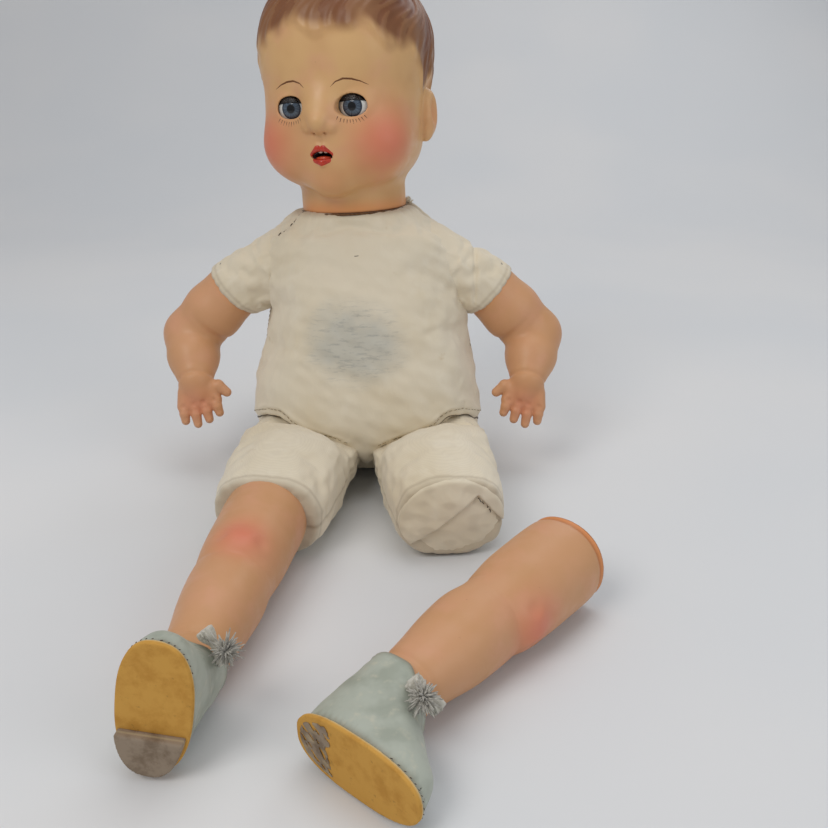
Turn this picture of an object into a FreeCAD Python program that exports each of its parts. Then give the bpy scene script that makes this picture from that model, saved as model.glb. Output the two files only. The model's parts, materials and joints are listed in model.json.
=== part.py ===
import FreeCAD, Part
import math
import os

V = FreeCAD.Vector

# A seated baby doll: composition head, arms and legs on a stuffed cloth body. One leg has come off.
# Frame: origin at the middle of the flat seat, +Z up, the doll faces -Y, and its own right side is -X.

# ------------------------------------------------------------------ driving sizes, millimetres
CLOTH = 1.5           # sewn muslin, with its turned seams
SHELL = 3.2           # wall of the moulded composition
GAP = 0.3             # clearance between pieces that move on each other
HIP_GAP = 0.9         # room around the soft thigh in the torso
PIN_GAP = 0.05        # radial clearance of a pivot pin
OUTLINE_POINTS = 28   # points that carry each closed outline

# Torso outlines: height, half width, middle in Y, half depth. The torso reclines and its seat is flat.
TORSO_OUTLINES = (
    (0, 60, 0, 26), (6, 70, -4, 36), (18, 76, -14, 48), (40, 79, -22, 54), (70, 79, -21, 53), (100, 75, -16, 49),
    (130, 72, -9, 45), (150, 66, -4, 41), (165, 55, -1, 38), (175, 44, 1, 37), (190, 37, 2, 36.5))
TORSO_LEAN = (2, -8 / 183)            # middle in X at the seat, and its shift per millimetre of height
SIDE_SEAM_FOOT_Y = -29.5              # the side seams lie in one plane, through this Y at floor level
SIDE_SEAM_SLOPE = 32 / 183

NECK = V(-8, 2, 184)                  # where the neck leaves the cloth
NECK_AXIS = V(-0.047, 0.052, 0.997)
HEAD_YAW = -14.5                      # the head looks to the doll's right
NECK_RADIUS = 35.5
GROOVE_RADIUS = 31.0                  # the cloth is drawn into this groove
FLANGE_RADIUS = 34.5
FLANGE_TOP = -8.3
FLANGE_FOOT = -14.2
DRAWSTRING_RADIUS = 1.3

# Head outlines: height over the neck, half width, reach to the face, reach to the back of the head.
HEAD_OUTLINES = (
    (0.4, 35.5, 35.5, 35.5), (10, 35.5, 38, 35.5), (18, 38, 47, 37), (26, 43.5, 54, 42), (36, 47.5, 57, 48),
    (50, 50, 58, 56), (70, 51, 56, 63), (88, 53.5, 58, 67.5), (104, 55, 57, 68.5), (120, 53, 49.5, 64),
    (134, 45.5, 37, 54), (145, 31, 19, 37), (151, 12, 6, 16))
HEAD_SEAM_Y = 2                       # the head is glued from a front and a rear half

EYE_X = 20
EYE_Y = -40
EYE_Z = 67.3
EYE_RADIUS = 12.8
EYE_OPENING = (11, 7.5)               # half width and half height
EYE_PIN_RADIUS = 1.2
EYE_PIN_LENGTH = 2
EYE_WEIGHT_DROP = V(0, 7, -22)        # from the eyes' axis to the middle of the lead weight
EYE_WEIGHT_RADIUS = 7.5
EYE_SETTING_RADIUS = 16

MOUTH_Z = 39.3
MOUTH_OPENING = (6, 3.25)             # half width and half height
LINER_WALL = 2.8
LINER_BACK_Y = -44

# Shoulders and arms. The right side is modelled and the left is its mirror image across the torso's middle.
BODY_MIDDLE_X = -4
SHOULDER = V(-72, -4, 148)
SHOULDER_RADIUS = 24
SLEEVE_AXIS = V(-0.743, 0.05, -0.668)
SLEEVE_LENGTH = 29                    # from the shoulder's middle to the hem
SWING_CONE_DEPTH = 16                 # the swinging sleeve sweeps a cone, this far each side of the ball's middle
SWING_CONE_RADII = (17.5, 46.5)       # its radii inside the torso and outside it
HEM_RADIUS = 22
ARM_STUB_RADIUS = 19.5                # the end of the arm inside the sleeve
ARM_STUB_LENGTH = 9
ELBOW = V(-128, -3, 94)
WRIST = V(-121, -33, 70)
PALM_END = V(-118, -40, 55)
FINGER_END = V(-115.5, -43.5, 43)
HAND_SIDE = V(0.97, 0.1, 0.2)         # from the little finger towards the thumb
FINGER_RADIUS = 3.4
FINGER_PITCH = 7.3
FINGER_TRIMS = (3, 0, -1.5, 2.5)      # how much shorter each finger is, from the first to the little finger

# Hips and thighs. The thigh turns about a level axis inside a rounded recess of the torso.
HIP = V(-40, -40, 32)
HIP_RADIUS = 30
THIGH_HALF_WIDTH = 37
THIGH_HEM = V(-55.6, -158, 27.6)
HEM_HALF = (30, 26.8)                 # half width and half height of the hem
HIP_UP = 10                           # how far the thigh folds up and down from where it lies
HIP_DOWN = 75

# Composition leg, in its own frame: +Z down the leg from the open rim, +Y to the toes.
# Outlines: distance from the rim, half width, reach to the back, reach to the front.
LEG_STUB_RADIUS = 24.2
LEG_STUB_LENGTH = 8
LEG_OUTLINES = (
    (10, 24.8, 24.8, 24.8), (30, 24.2, 25, 25), (56, 23.5, 24, 24.5), (76, 22, 20.5, 22), (100, 20, 21.5, 21),
    (124, 17, 18, 17.5), (146, 15, 16, 16))
FOOT_OUTLINES = (
    (144, 14.8, 16, 16), (150, 14.6, 16.2, 19), (161, 13.6, 16.4, 29), (172, 13.2, 15.8, 42.5),
    (180.5, 12.6, 14.4, 45.5))
SHOE_OUTLINES = (
    (139, 17.6, 18.6, 18.4), (150, 17.4, 18.9, 22.5), (161, 16.8, 19, 33), (173, 16.4, 18.8, 47),
    (184, 16.2, 17.6, 51))
OILCLOTH = 1.6
SOLE_TOP = 184
SOLE_FOOT = 186.5
INSOLE = 3.3
HEEL_LIFT = 5
HEEL_LENGTH = 22
SOLE_HALF = (16.4, 34.5)              # half width and half length
SOLE_MIDDLE = 16.5                    # the sole's middle, ahead of the ankle
TIE_SIDE = V(17.3, 16.3, 147)         # the ribbon's bunch lies between these two points on the shoe's mouth
TIE_FRONT = V(8.1, 24.2, 144)
TIE_RADIUS = 3
POMPOM = V(19.5, 25.5, 153)
POMPOM_RADIUS = 7
RIGHT_RIM = V(-54.6, -150, 28)
RIGHT_LEG_AXIS = V(-0.125, -0.991, -0.042)
RIGHT_TOES = V(0.17, -0.06, 0.98)
LEFT_RIM = V(118, -198, 26.2)
LEFT_LEG_AXIS = V(-0.653, -0.756, -0.045)
LEFT_TOES = V(0.757, -0.654, 0)

# Binding wires lie in a groove of the limb's end.
BINDING_START = 3
BINDING_WIDTH = 2.6
BINDING_DEPTH = 1.2

# The voice box lies on its side in the stuffing, its lid to the front.
CRIER_FRONT = V(-3, -38, 112)
CRIER_AXIS = V(0, 0.978, -0.208)
CRIER_RADIUS = 24
CRIER_LENGTH = 44
CRIER_WALL = 1.2
CRIER_TRAVEL = 12
CRIER_HOLE_RADIUS = 1.5

BIG = 400


# ------------------------------------------------------------------ shape helpers
def unit(vector):
    """Copy of the vector at length one."""
    copy = V(vector)
    copy.normalize()
    return copy


def oval(height, x_middle, y_middle, half_width, half_depth, power=2.3):
    """Closed level outline, between an ellipse and a rounded box."""
    points = []
    for step in range(OUTLINE_POINTS):
        angle = 2 * math.pi * step / OUTLINE_POINTS
        across = math.copysign(abs(math.cos(angle)) ** (2 / power), math.cos(angle))
        along = math.copysign(abs(math.sin(angle)) ** (2 / power), math.sin(angle))
        points.append(V(x_middle + half_width * across, y_middle + half_depth * along, height))
    curve = Part.BSplineCurve()
    curve.interpolate(Points=points, PeriodicFlag=True)
    return Part.Wire([curve.toShape()])


def loft(wires):
    """Smooth closed solid through the outlines."""
    return Part.makeLoft(wires, True, True)


def rod(start, end, radius):
    """Round rod between two points."""
    return Part.makeCylinder(radius, (end - start).Length, start, unit(end - start))


def capsule(start, end, radius):
    """Rod with round ends."""
    return rod(start, end, radius).multiFuse([Part.makeSphere(radius, start), Part.makeSphere(radius, end)])


def ellipsoid(centre, half_x, half_y, half_z):
    """Ball stretched along the three axes."""
    matrix = FreeCAD.Matrix()
    matrix.scale(half_x, half_y, half_z)
    ball = Part.makeSphere(1).transformGeometry(matrix)
    ball.translate(centre)
    return ball


def oval_bar(centre, half_width, half_height, y_start, y_end):
    """Straight bar along Y with an elliptical section in XZ."""
    ellipse = Part.Ellipse(V(0, 0, 0), half_width, half_height).toShape()
    face = Part.Face(Part.Wire([ellipse]))
    face.rotate(V(0, 0, 0), V(1, 0, 0), 90)
    face.translate(V(centre.x, y_start, centre.z))
    return face.extrude(V(0, y_end - y_start, 0))


def slab(x_range, y_range, z_range):
    """Block between two limits on each axis."""
    size = [high - low for low, high in (x_range, y_range, z_range)]
    return Part.makeBox(*size, V(x_range[0], y_range[0], z_range[0]))


def frame_along(origin, axis, toward):
    """Placement whose +Z runs along the axis and whose +Y is as near as it can be to the second direction."""
    z_axis = unit(axis)
    x_axis = unit(toward.cross(z_axis))
    y_axis = z_axis.cross(x_axis)
    return FreeCAD.Placement(origin, FreeCAD.Rotation(x_axis, y_axis, z_axis, "ZXY"))


def placed(shape, placement):
    """Copy of a shape moved from its own frame to its place."""
    copy = shape.copy()
    copy.Placement = placement.multiply(copy.Placement)
    return copy


def mirrored(shape, plane_x):
    """Mirror image across a plane of constant X."""
    return shape.mirror(V(plane_x, 0, 0), V(1, 0, 0))


def ring(start, end, outer, inner):
    """Flat ring about +Z between two heights."""
    body = rod(V(0, 0, start), V(0, 0, end), outer)
    return body.cut(rod(V(0, 0, start - 1), V(0, 0, end + 1), inner))


def binding(stub_radius, clearance):
    """Wire that lies in a limb's groove and fills its sleeve's bore."""
    return ring(BINDING_START, BINDING_START + BINDING_WIDTH, stub_radius + GAP,
                stub_radius - BINDING_DEPTH + clearance)


def groove(stub_radius):
    """Room for the binding wire in the limb's stub."""
    return ring(BINDING_START - GAP, BINDING_START + BINDING_WIDTH + GAP, stub_radius + 1,
                stub_radius - BINDING_DEPTH)


# ------------------------------------------------------------------ head frame
HEAD_PLACE = FreeCAD.Placement(NECK, FreeCAD.Rotation(V(0, 0, 1), NECK_AXIS).multiply(
    FreeCAD.Rotation(V(0, 0, 1), HEAD_YAW)))
NECK_PLACE = FreeCAD.Placement(NECK, FreeCAD.Rotation(V(0, 0, 1), NECK_AXIS))


# ------------------------------------------------------------------ torso
def torso_form(inset, foot):
    """The torso's full outer form, or the form inside its cloth."""
    wires = []
    for height, half_width, y_middle, half_depth in TORSO_OUTLINES:
        x_middle = TORSO_LEAN[0] + TORSO_LEAN[1] * height
        lifted = max(height, foot)
        wires.append(oval(lifted, x_middle, y_middle, half_width - inset, half_depth - inset))
    return loft(wires)


def hip_recess(side, clearance):
    """Room that the thigh sweeps: its rounded end and the wedge between its highest and lowest places."""
    reach = HIP_RADIUS + clearance
    inner_x = side * (abs(HIP.x) - THIGH_HALF_WIDTH - clearance)
    outer_x = side * BIG / 2
    up = math.radians(HIP_UP)
    down = math.radians(-HIP_DOWN)
    top = V(inner_x, HIP.y + reach * math.sin(up), HIP.z + reach * math.cos(up))
    low = V(inner_x, HIP.y - reach * math.sin(down), HIP.z - reach * math.cos(down))
    top_end = top + V(0, -math.cos(up), math.sin(up)) * BIG
    low_end = low + V(0, -math.cos(down), math.sin(down)) * BIG
    far = V(inner_x, HIP.y - BIG, HIP.z - BIG)
    middle = V(inner_x, HIP.y, HIP.z)
    wedge = Part.Face(Part.makePolygon([middle, top, top_end, far, low_end, low, middle]))
    wedge = wedge.extrude(V(outer_x - inner_x, 0, 0))
    barrel = rod(middle, V(outer_x, HIP.y, HIP.z), reach)
    return wedge.fuse(barrel)


def shoulder_recess(side, clearance):
    """Hollow for a sleeve's ball, flared by the cone that the sleeve sweeps as it swings."""
    centre = V(BODY_MIDDLE_X + side * abs(SHOULDER.x - BODY_MIDDLE_X), SHOULDER.y, SHOULDER.z)
    start = centre - V(side * SWING_CONE_DEPTH, 0, 0)
    cone = Part.makeCone(SWING_CONE_RADII[0] + clearance, SWING_CONE_RADII[1] + clearance, 2 * SWING_CONE_DEPTH,
                         start, V(side, 0, 0))
    return Part.makeSphere(SHOULDER_RADIUS + clearance, centre).fuse(cone)


def above_neck(height):
    """Everything over a plane square to the neck."""
    block = slab((-BIG, BIG), (-BIG, BIG), (height, BIG))
    return placed(block, NECK_PLACE)


def make_torso():
    """Front and back panels, stuffing, drawstring and voice box."""
    outer = torso_form(0, 0)
    inner = torso_form(CLOTH, CLOTH)
    for side in (-1, 1):
        outer = outer.cut(hip_recess(side, HIP_GAP))
        inner = inner.cut(hip_recess(side, HIP_GAP + CLOTH))
        outer = outer.cut(shoulder_recess(side, GAP))
        inner = inner.cut(shoulder_recess(side, GAP + CLOTH))
    outer = outer.cut(above_neck(0))
    inner = inner.cut(above_neck(FLANGE_FOOT - GAP - CLOTH))
    inner = max(inner.Solids, key=lambda solid: solid.Volume)
    cover = outer.cut(inner)
    neck_bore = rod(V(0, 0, FLANGE_TOP), V(0, 0, 1), GROOVE_RADIUS + GAP)
    flange_room = rod(V(0, 0, FLANGE_FOOT - GAP), V(0, 0, FLANGE_TOP + GAP), FLANGE_RADIUS + GAP)
    drawstring = Part.makeTorus(GROOVE_RADIUS + GAP + 1.4 * DRAWSTRING_RADIUS, DRAWSTRING_RADIUS, V(0, 0, -4))
    for hole in (neck_bore, flange_room, drawstring):
        cover = cover.cut(placed(hole, NECK_PLACE))
    front_side = slab((-BIG, BIG), (-BIG, 0), (-BIG, BIG))
    front_side.rotate(V(0, 0, 0), V(1, 0, 0), -math.degrees(math.atan(SIDE_SEAM_SLOPE)))
    front_side.translate(V(0, SIDE_SEAM_FOOT_Y, 0))
    crier_room = rod(CRIER_FRONT, CRIER_FRONT + unit(CRIER_AXIS) * CRIER_LENGTH, CRIER_RADIUS)
    return {
        "torso_front_panel": cover.common(front_side),
        "torso_back_panel": cover.cut(front_side),
        "torso_stuffing": inner.cut(crier_room),
        "neck_drawstring": placed(drawstring, NECK_PLACE)}


def make_crier():
    """Voice box in its own frame, +Z to the back: perforated lid, can, reed and sliding weight."""
    can = rod(V(0, 0, CRIER_WALL), V(0, 0, CRIER_LENGTH), CRIER_RADIUS)
    can = can.cut(rod(V(0, 0, 0), V(0, 0, CRIER_LENGTH - CRIER_WALL), CRIER_RADIUS - CRIER_WALL))
    lid = rod(V(0, 0, 0), V(0, 0, CRIER_WALL), CRIER_RADIUS)
    for spot in range(6):
        angle = math.radians(60 * spot)
        foot = V(12 * math.cos(angle), 12 * math.sin(angle), -1)
        lid = lid.cut(rod(foot, foot + V(0, 0, 5), CRIER_HOLE_RADIUS))
    reed = rod(V(0, 0, CRIER_WALL), V(0, 0, CRIER_WALL + 8), 5)
    reed = reed.cut(rod(V(0, 0, 0), V(0, 0, CRIER_WALL + 9), 2.4))
    weight_foot = CRIER_LENGTH - CRIER_WALL - GAP - 14
    weight = rod(V(0, 0, weight_foot), V(0, 0, weight_foot + 14), CRIER_RADIUS - CRIER_WALL - GAP)
    place = frame_along(CRIER_FRONT, CRIER_AXIS, V(0, 0, 1))
    shapes = {"crier_can": can, "crier_lid": lid, "crier_reed": reed, "crier_weight": weight}
    return {name: placed(shape, place) for name, shape in shapes.items()}


# ------------------------------------------------------------------ head
def head_form(inset):
    """The head's outer form, or its hollow, which starts and ends one wall thickness further in."""
    foot = HEAD_OUTLINES[0][0] + inset
    top = HEAD_OUTLINES[-1][0] - inset
    wires = []
    for height, half_width, front, back in HEAD_OUTLINES:
        level = min(max(height, foot), top)
        narrowing = min(inset, half_width / 3)
        half_depth = (front + back) / 2 - narrowing
        wires.append(oval(level, 0, (back - front) / 2, half_width - narrowing, half_depth, 2.15))
    return loft(wires)


def make_head():
    """Front and rear shells with ears and nose, eye settings and mouth pieces, in the head's frame."""
    hollow = head_form(SHELL)
    hollow = hollow.fuse(rod(V(0, 0, FLANGE_FOOT - 1), V(0, 0, 4), GROOVE_RADIUS - SHELL))
    outer = head_form(0)
    outer = outer.fuse(rod(V(0, 0, FLANGE_TOP - 0.1), V(0, 0, 1), GROOVE_RADIUS))
    outer = outer.fuse(rod(V(0, 0, FLANGE_FOOT), V(0, 0, FLANGE_TOP), FLANGE_RADIUS))
    outer = outer.fuse(ellipsoid(V(0, -57, 57), 8.5, 6.5, 6.5))
    for side in (-1, 1):
        outer = outer.fuse(ellipsoid(V(side * 51, 10, 60), 8, 7, 14))
    shell = outer.cut(hollow)
    pieces = {}
    mouth = V(0, 0, MOUTH_Z)
    shell = shell.cut(oval_bar(mouth, MOUTH_OPENING[0], MOUTH_OPENING[1], -80, -40))
    for side, name in ((-1, "right"), (1, "left")):
        eye = V(side * EYE_X, EYE_Y, EYE_Z)
        seat = Part.makeSphere(EYE_RADIUS + GAP, eye)
        shell = shell.cut(seat)
        shell = shell.cut(oval_bar(eye, EYE_OPENING[0], EYE_OPENING[1], -80, EYE_Y))
        setting = rod(eye + V(side * 3, 0, 0), eye + V(side * 30, 0, 0), EYE_SETTING_RADIUS)
        pin_room = rod(eye, eye + V(side * (EYE_RADIUS + EYE_PIN_LENGTH + GAP), 0, 0), EYE_PIN_RADIUS + PIN_GAP)
        shell = shell.cut(pin_room)
        setting = setting.common(hollow).cut(seat).cut(pin_room)
        pieces["eye_setting_" + name] = setting
    front_side = slab((-BIG, BIG), (-BIG, HEAD_SEAM_Y), (-BIG, BIG))
    pieces["head_front_shell"] = shell.common(front_side)
    pieces["head_rear_shell"] = shell.cut(front_side)
    liner = oval_bar(mouth, MOUTH_OPENING[0] + LINER_WALL, MOUTH_OPENING[1] + LINER_WALL, -80, LINER_BACK_Y)
    liner = liner.common(hollow)
    liner = liner.cut(oval_bar(mouth, MOUTH_OPENING[0], MOUTH_OPENING[1], -80, LINER_BACK_Y - 2))
    teeth = []
    for side in (-1, 1):
        tooth = slab((side * 1.4 - 1.3, side * 1.4 + 1.3), (-53, -51.4), (MOUTH_Z + 0.9, MOUTH_Z + 3.6))
        teeth.append(tooth.cut(liner).cut(shell))
    tongue = ellipsoid(V(0, -49.5, MOUTH_Z - 2.4), 4, 3.2, 2.2).cut(liner).cut(shell)
    pieces["mouth_liner"] = liner
    pieces["upper_teeth"] = Part.makeCompound(teeth)
    pieces["tongue"] = tongue
    return {name: placed(shape, HEAD_PLACE) for name, shape in pieces.items()}


def make_eyes():
    """Rocking sleep eyes: two balls with pivot pins, the bridge between them and the lead weight."""
    pieces = {}
    for side, name in ((-1, "right"), (1, "left")):
        eye = V(side * EYE_X, EYE_Y, EYE_Z)
        pin = rod(eye, eye + V(side * (EYE_RADIUS + EYE_PIN_LENGTH), 0, 0), EYE_PIN_RADIUS)
        pieces["eyeball_" + name] = Part.makeSphere(EYE_RADIUS, eye).fuse(pin)
    balls = pieces["eyeball_right"].fuse(pieces["eyeball_left"])
    middle = V(0, EYE_Y, EYE_Z)
    bridge = rod(V(-EYE_X, EYE_Y, EYE_Z), V(EYE_X, EYE_Y, EYE_Z), 1.6).cut(balls)
    stem = rod(middle, middle + EYE_WEIGHT_DROP, 1.4).cut(bridge)
    weight = Part.makeSphere(EYE_WEIGHT_RADIUS, middle + EYE_WEIGHT_DROP)
    pieces["eye_bridge"] = bridge
    pieces["eye_weight"] = max(stem.Solids, key=lambda solid: solid.Volume).fuse(weight)
    return {name: placed(shape, HEAD_PLACE) for name, shape in pieces.items()}


# ------------------------------------------------------------------ arms
def make_sleeve():
    """Right cloth sleeve: cover, stuffing and the wire that binds it on the arm."""
    axis = unit(SLEEVE_AXIS)
    place = frame_along(SHOULDER, axis, V(0, 0, 1))
    hem_place = frame_along(SHOULDER + axis * (SLEEVE_LENGTH - ARM_STUB_LENGTH), axis, V(0, 0, 1))
    cone = Part.makeCone(SHOULDER_RADIUS - 0.6, HEM_RADIUS, SLEEVE_LENGTH)
    form = Part.makeSphere(SHOULDER_RADIUS).fuse(cone)
    bore_start = SLEEVE_LENGTH - ARM_STUB_LENGTH - GAP
    form = form.cut(rod(V(0, 0, bore_start), V(0, 0, SLEEVE_LENGTH + 1), ARM_STUB_RADIUS + GAP))
    stuffing = Part.makeSphere(SHOULDER_RADIUS - CLOTH)
    stuffing = stuffing.cut(rod(V(0, 0, bore_start - CLOTH), V(0, 0, SLEEVE_LENGTH), SHOULDER_RADIUS))
    cover = form.cut(stuffing)
    return {
        "sleeve_right_cover": placed(cover, place),
        "sleeve_right_stuffing": placed(stuffing, place),
        "sleeve_right_binding": placed(binding(ARM_STUB_RADIUS, GAP), hem_place)}


def arm_tube(inset):
    """The visible stretch of the arm, from the sleeve's hem to the wrist."""
    axis = unit(SLEEVE_AXIS)
    hem = SHOULDER + axis * SLEEVE_LENGTH
    upper = unit(ELBOW - hem)
    fore = unit(WRIST - ELBOW)
    stations = (
        (hem + axis * 0.5, axis, 20.2), (hem + (ELBOW - hem) * 0.5, upper, 20.5),
        (ELBOW, unit(upper + fore), 19), (ELBOW + (WRIST - ELBOW) * 0.5, fore, 17.5), (WRIST, fore, 13.6))
    return loft([Part.Wire([Part.makeCircle(radius - inset, centre, direction)])
                 for centre, direction, radius in stations])


def make_hand():
    """Palm, four fingers and thumb, with the back of the hand to the front."""
    side = unit(HAND_SIDE)
    palm_middle = (WRIST + PALM_END) * 0.5
    hand = capsule(WRIST, palm_middle, 9)
    for finger in range(4):
        offset = side * ((1.5 - finger) * FINGER_PITCH)
        root = palm_middle + offset * 0.75
        knuckle = PALM_END + offset
        tip = FINGER_END + offset * 1.15
        tip = tip + unit(knuckle - tip) * FINGER_TRIMS[finger]
        hand = hand.fuse(capsule(root, knuckle, FINGER_RADIUS + 2))
        hand = hand.fuse(capsule(knuckle, tip, FINGER_RADIUS))
    thumb_root = palm_middle + side * 9
    thumb_tip = thumb_root + side * 13 + V(0, -2, -4)
    return hand.fuse(capsule(thumb_root, thumb_tip, FINGER_RADIUS + 0.4))


def make_arm():
    """Right composition arm, hollow to the wrist, with a plug in its open end."""
    axis = unit(SLEEVE_AXIS)
    stub_place = frame_along(SHOULDER + axis * (SLEEVE_LENGTH - ARM_STUB_LENGTH), axis, V(0, 0, 1))
    stub = rod(V(0, 0, 0), V(0, 0, ARM_STUB_LENGTH + 1), ARM_STUB_RADIUS).cut(groove(ARM_STUB_RADIUS))
    bore = rod(V(0, 0, -1), V(0, 0, ARM_STUB_LENGTH + 2), ARM_STUB_RADIUS - SHELL)
    shell = arm_tube(0).fuse(placed(stub, stub_place))
    shell = shell.cut(arm_tube(SHELL)).cut(placed(bore, stub_place)).fuse(make_hand())
    shell = shell.fuse(Part.makeSphere(12.5, WRIST))
    plug = rod(V(0, 0, 0.2), V(0, 0, 3), ARM_STUB_RADIUS - SHELL)
    return {"arm_right_shell": shell, "arm_right_plug": placed(plug, stub_place)}


# ------------------------------------------------------------------ thighs
def thigh_form(inset, hem_trim):
    """Right thigh: a flattened tube from the rounded hip end to the hem, or the form inside its cloth."""
    run = THIGH_HEM - HIP
    place = frame_along(HIP, run, V(0, 0, 1))
    length = run.Length - hem_trim
    half_height = HIP_RADIUS - inset
    stations = (
        (-HIP_RADIUS - 4, THIGH_HALF_WIDTH - inset, half_height),
        (0, THIGH_HALF_WIDTH - inset, half_height),
        (run.Length * 0.55, 34.5 - inset, 28.6 - inset),
        (length, HEM_HALF[0] - inset, HEM_HALF[1] - inset))
    tube = placed(loft([oval(height, 0, 0, half_width, half, 2.5) for height, half_width, half in stations]), place)
    barrel = rod(V(-BIG / 2, HIP.y, HIP.z), V(BIG / 2, HIP.y, HIP.z), HIP_RADIUS - inset)
    ahead = slab((-BIG / 2, BIG / 2), (-BIG, HIP.y), (-BIG, BIG))
    reach = barrel.fuse(ahead)
    inner_x = HIP.x + THIGH_HALF_WIDTH - inset
    return tube.common(reach).common(slab((-BIG, inner_x), (-BIG, BIG), (-BIG, BIG)))


def make_right_thigh():
    """Right thigh, its hem bound on the leg."""
    leg_place = frame_along(RIGHT_RIM, RIGHT_LEG_AXIS, RIGHT_TOES)
    leg_room = placed(rod(V(0, 0, -GAP - CLOTH), V(0, 0, 60), LEG_STUB_RADIUS + GAP), leg_place)
    behind_rim = slab((-BIG, BIG), (-BIG, BIG), (-BIG, -GAP - CLOTH))
    stuffing = thigh_form(CLOTH, 0).common(placed(behind_rim, leg_place))
    cover = thigh_form(0, 0).cut(stuffing).cut(leg_room)
    return {
        "thigh_right_cover": cover,
        "thigh_right_stuffing": stuffing,
        "thigh_right_binding": placed(binding(LEG_STUB_RADIUS, GAP), leg_place)}


def make_left_thigh():
    """Left thigh, open at its hem, with the stitched cloth disc that once sat inside the leg."""
    run = THIGH_HEM - HIP
    hem_place = frame_along(THIGH_HEM, run, V(0, 0, 1))
    beyond = placed(slab((-BIG, BIG), (-BIG, BIG), (-9, BIG)), hem_place)
    stuffing = thigh_form(CLOTH, 0).cut(beyond)
    cover = thigh_form(0, 0).cut(thigh_form(CLOTH, -4))
    end = rod(V(0, 0, -9), V(0, 0, -4), 21).fuse(
        placed(ellipsoid(V(0, 0, 0), 21, 21, 6), FreeCAD.Placement(V(0, 0, -4), FreeCAD.Rotation())))
    end = end.cut(slab((-BIG, BIG), (-BIG, BIG), (-BIG, -9)))
    pieces = {
        "thigh_left_cover": cover,
        "thigh_left_stuffing": stuffing,
        "thigh_left_end_disc": placed(end, hem_place)}
    return {name: mirrored(shape, 0) for name, shape in pieces.items()}


# ------------------------------------------------------------------ legs and shoes
def leg_loft(outlines, inset, stretch=0):
    """Form through outlines in the leg's frame; stretch lengthens it at both ends."""
    last = len(outlines) - 1
    wires = []
    for index, (distance, half_width, back, front) in enumerate(outlines):
        height = distance - stretch * (index == 0) + stretch * (index == last)
        half_length = (front + back) / 2 - inset
        wires.append(oval(height, 0, (front - back) / 2, half_width - inset, half_length, 2.15))
    return loft(wires)


def sole_plate(start, end, inset):
    """Plate with the sole's outline."""
    outline = oval(start, 0, SOLE_MIDDLE, SOLE_HALF[0] - inset, SOLE_HALF[1] - inset, 2.5)
    return Part.Face(outline).extrude(V(0, 0, end - start))


def make_leg(name, place, medial, heel_lift):
    """Composition leg with its shoe. medial is the side of +X that faces the other leg."""
    stub = rod(V(0, 0, 0), V(0, 0, LEG_STUB_LENGTH + 4), LEG_STUB_RADIUS).cut(groove(LEG_STUB_RADIUS))
    bore = rod(V(0, 0, -1), V(0, 0, LEG_STUB_LENGTH + 6), LEG_STUB_RADIUS - SHELL - 0.4)
    hollow = leg_loft(LEG_OUTLINES, SHELL)
    shell = leg_loft(LEG_OUTLINES, 0).fuse(stub).cut(hollow).cut(bore).fuse(leg_loft(FOOT_OUTLINES, 0))
    upper = leg_loft(SHOE_OUTLINES, 0).cut(leg_loft(SHOE_OUTLINES, OILCLOTH, 1))
    tie = capsule(V(medial * TIE_SIDE.x, TIE_SIDE.y, TIE_SIDE.z), V(medial * TIE_FRONT.x, TIE_FRONT.y, TIE_FRONT.z),
                  TIE_RADIUS)
    pompom = Part.makeSphere(POMPOM_RADIUS, V(medial * POMPOM.x, POMPOM.y, POMPOM.z))
    shapes = {
        "leg_" + name + "_shell": shell,
        "shoe_" + name + "_upper": upper,
        "shoe_" + name + "_insole": sole_plate(SOLE_TOP - INSOLE, SOLE_TOP - 0.2, 5),
        "shoe_" + name + "_sole": sole_plate(SOLE_TOP, SOLE_FOOT, 0),
        "shoe_" + name + "_tie": tie,
        "shoe_" + name + "_pompom": pompom}
    if heel_lift:
        heel_end = SOLE_MIDDLE - SOLE_HALF[1] + HEEL_LENGTH
        rear = slab((-BIG, BIG), (-BIG, heel_end), (-BIG, BIG))
        shapes["shoe_" + name + "_heel"] = sole_plate(SOLE_FOOT, SOLE_FOOT + HEEL_LIFT, 0).common(rear)
    return {node: placed(shape, place) for node, shape in shapes.items()}


# ------------------------------------------------------------------ assembly and export
def left_of(pieces):
    """Left-hand copies of the right arm's or sleeve's pieces."""
    return {name.replace("right", "left"): mirrored(shape, BODY_MIDDLE_X) for name, shape in pieces.items()}


def make_doll():
    """Every node of the doll by name."""
    nodes = {}
    sleeve = make_sleeve()
    arm = make_arm()
    right_place = frame_along(RIGHT_RIM, RIGHT_LEG_AXIS, RIGHT_TOES)
    left_place = frame_along(LEFT_RIM, LEFT_LEG_AXIS, LEFT_TOES)
    for pieces in (make_torso(), make_crier(), make_head(), make_eyes(), sleeve, left_of(sleeve), arm, left_of(arm),
                   make_right_thigh(), make_left_thigh(), make_leg("right", right_place, 1, True),
                   make_leg("left", left_place, -1, False)):
        nodes.update(pieces)
    return nodes


os.makedirs("parts", exist_ok=True)
for node, shape in make_doll().items():
    box = shape.BoundBox
    print(f"{node:24s} solids {len(shape.Solids)} valid {shape.isValid()} volume {shape.Volume:10.0f}"
          f"  x {box.XMin:7.1f} {box.XMax:7.1f}  y {box.YMin:7.1f} {box.YMax:7.1f}  z {box.ZMin:6.1f} {box.ZMax:6.1f}")
    shape.exportStep("parts/" + node + ".step")
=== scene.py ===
"""Looks of the seated baby doll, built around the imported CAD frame.

Shapes are in millimetres until they become meshes.
"""

import json
import math

import bpy
import numpy as np
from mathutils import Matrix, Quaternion, Vector


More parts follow.
